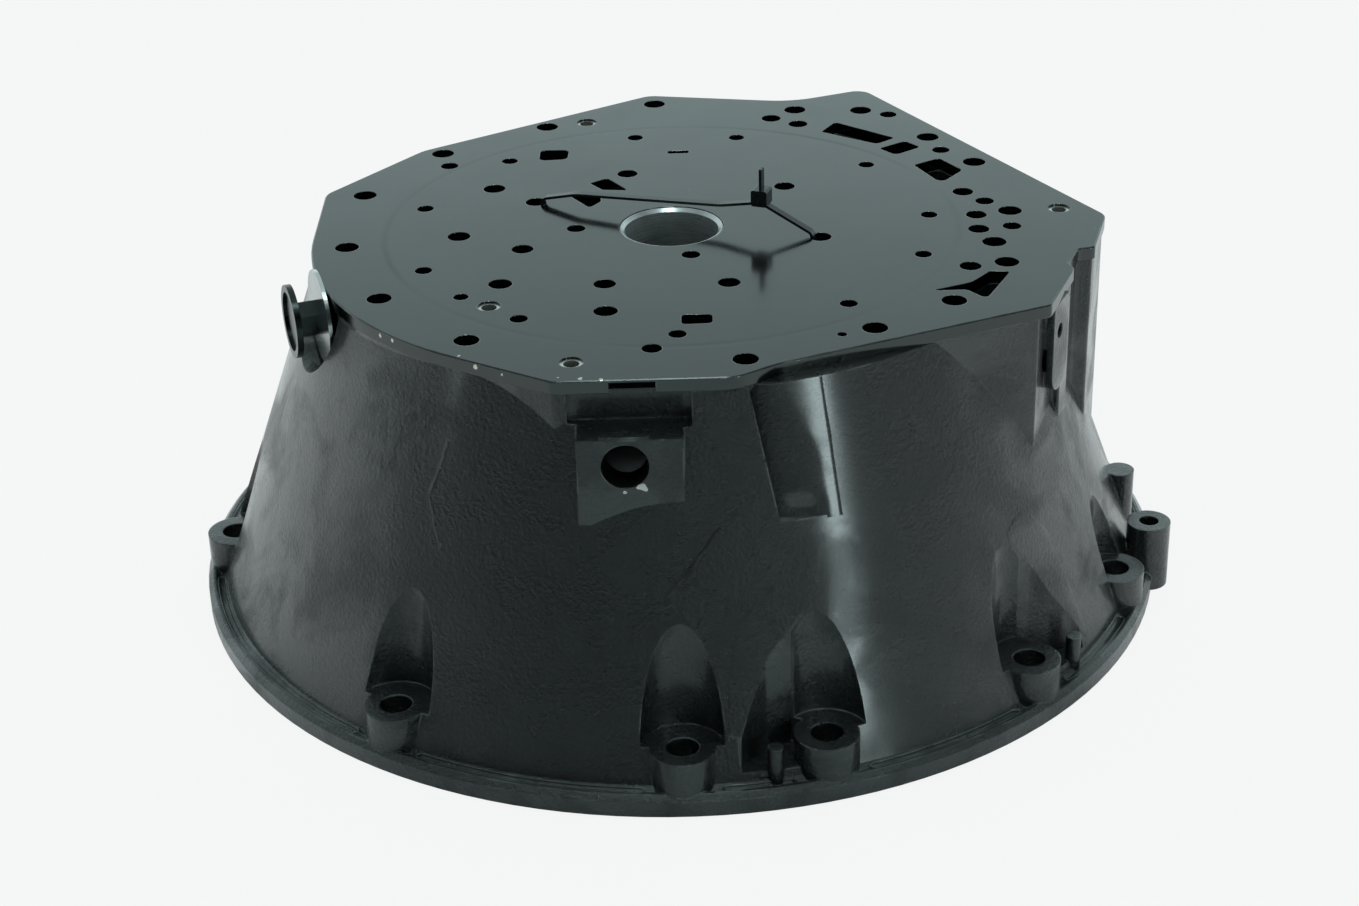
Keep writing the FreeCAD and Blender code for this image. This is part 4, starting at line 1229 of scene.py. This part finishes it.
@dataclass
class Studio:
    """Pale floor, white surroundings, soft lights and the camera, in metres and radians."""

    lens: float = 66.225
    elevation: float = 0.47766647
    distance: float = 1.13604
    aim: Point = (0.000834, 0.0, 0.04724)
    roll: float = 0.02739
    sensor: float = 36.0
    nearest: float = 0.05
    farthest: float = 50.0
    floor_radius: float = 9.0
    floor_height: float = -0.0002
    light_target: Point = (0.0, 0.0, 0.08)
    panels: tuple[Panel, ...] = (
        Panel("key_panel", -48.5, 11.0, 4.0, 0.4, 1.2, 17.0),
        Panel("side_glint", -158.0, 12.0, 4.0, 0.3, 0.5, 1.6),
        Panel("top_panel", -80.0, 70.0, 2.4, 0.6, 0.6, 9.0),
    )

    def camera(self) -> None:
        """Place the camera."""
        forward = Vector((0, math.cos(self.elevation), -math.sin(self.elevation)))
        right = Vector((1, 0, 0))
        up = right.cross(forward)
        turned_right = right * math.cos(self.roll) - up * math.sin(self.roll)
        turned_up = right * math.sin(self.roll) + up * math.cos(self.roll)
        place = Vector(self.aim) - forward * self.distance
        data = bpy.data.cameras.new("camera")
        data.lens = self.lens
        data.sensor_width = self.sensor
        data.clip_start = self.nearest
        data.clip_end = self.farthest
        camera = bpy.data.objects.new("camera", data)
        rows = Matrix((turned_right, turned_up, -forward)).transposed()
        camera.matrix_world = Matrix.Translation(place) @ rows.to_4x4()
        bpy.context.scene.collection.objects.link(camera)
        bpy.context.scene.camera = camera

    def floor(self) -> None:
        """Make the pale floor, which keeps the object's soft shadow."""
        mesh = bpy.data.meshes.new("floor")
        work = bmesh.new()
        bmesh.ops.create_circle(work, cap_ends=True, segments=96, radius=self.floor_radius)
        work.to_mesh(mesh)
        work.free()
        floor = bpy.data.objects.new("floor", mesh)
        floor.location = (0, 0, self.floor_height)
        bpy.context.scene.collection.objects.link(floor)
        mesh.materials.append(self.floor_paper())

    @staticmethod
    def floor_paper() -> Material:
        """Make pale paper that glows only where the camera or a mirror sees it.

        Returns:
            The floor's material, plain inside the bell's mouth.
        """
        material = bpy.data.materials.new("floor_paper")
        material.use_nodes = True
        graph = Graph(material.node_tree)
        material.node_tree.nodes.clear()
        out = graph.add("ShaderNodeOutputMaterial")
        paper = graph.add("ShaderNodeBsdfDiffuse", {"Color": (0.85, 0.86, 0.86, 1.0)})
        glow = graph.add("ShaderNodeEmission", {"Color": (1, 1, 1, 1), "Strength": 1.0})
        place = graph.add("ShaderNodeTexCoord").outputs["Object"]
        outside = graph.ramp(graph.vector(VectorMaths.LENGTH, place), 0.185, 0.2)
        along = graph.add("ShaderNodeSeparateXYZ", {0: place}).outputs
        side = graph.times(graph.maths(Maths.ABSOLUTE, along["X"]), 1.2)
        behind = graph.ramp(graph.plus(along["Y"], side), -0.1, 0.3)
        path = graph.add("ShaderNodeLightPath").outputs
        seen = graph.times(path["Is Camera Ray"], 0.86)
        mirrored = graph.times(path["Is Glossy Ray"], graph.times(behind, 0.42))
        share = graph.times(graph.most(seen, mirrored), outside)
        mix = graph.add("ShaderNodeMixShader", {0: share, 1: paper.outputs[0],
                                                2: glow.outputs[0]})
        graph.link(mix.outputs[0], out.inputs["Surface"])
        return material

    def world(self) -> None:
        """White surroundings behind, beside and above, dim in front."""
        world = bpy.data.worlds.new("surroundings")
        world.use_nodes = True
        bpy.context.scene.world = world
        graph = Graph(world.node_tree)
        world.node_tree.nodes.clear()
        out = graph.add("ShaderNodeOutputWorld")
        way = graph.add("ShaderNodeTexCoord").outputs["Generated"]
        along = graph.add("ShaderNodeSeparateXYZ", {0: way}).outputs
        right = graph.times(graph.most(along["X"], 0.0), 0.14)
        back = graph.ramp(graph.less(along["Y"], right), -0.3, 0.42)
        high = graph.ramp(along["Z"], 0.33, 0.45)
        level = graph.times(graph.spread(back, 0.03, 1.0),
                            graph.less(1.0, graph.times(high, 0.36)))
        above = graph.ramp(along["Z"], 0.6, 0.95)
        level = graph.most(level, graph.times(above, 0.62))
        path = graph.add("ShaderNodeLightPath").outputs
        light = graph.add("ShaderNodeBackground", {"Color": (*COOL_WHITE, 1.0),
                                                   "Strength": level})
        white = graph.add("ShaderNodeBackground", {"Color": (1, 1, 1, 1), "Strength": 1.0})
        mix = graph.add("ShaderNodeMixShader", {0: path["Is Camera Ray"], 1: light.outputs[0],
                                                2: white.outputs[0]})
        graph.link(mix.outputs[0], out.inputs["Surface"])

    def lights(self) -> None:
        """Hang the soft panels."""
        target = Vector(self.light_target)
        for panel in self.panels:
            data = bpy.data.lights.new(panel.name, "AREA")
            data.color = COOL_WHITE
            data.shape = "RECTANGLE"
            data.size = panel.width
            data.size_y = panel.height
            data.energy = panel.power
            light = bpy.data.objects.new(panel.name, data)
            azimuth, elevation = math.radians(panel.azimuth), math.radians(panel.elevation)
            offset = Vector((math.cos(azimuth) * math.cos(elevation),
                             math.sin(azimuth) * math.cos(elevation), math.sin(elevation)))
            light.location = target + offset * panel.distance
            light.rotation_euler = offset.to_track_quat("Z", "Y").to_euler()
            light.visible_camera = False
            bpy.context.scene.collection.objects.link(light)

    def build(self) -> None:
        """Set up the whole studio."""
        bpy.context.scene.view_settings.view_transform = "Standard"
        self.camera()
        self.floor()
        self.world()
        self.lights()
        log.info("studio ready")


def main() -> None:
    """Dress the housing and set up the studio."""
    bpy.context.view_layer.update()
    effects = SharedEffects()
    Casting(effects).build()
    IntermediatePlate(effects).build()
    SmallMetal(effects, RidgeRing()).build()
    CableTie(effects).build()
    Studio().build()


if __name__ == "__main__":
    main()
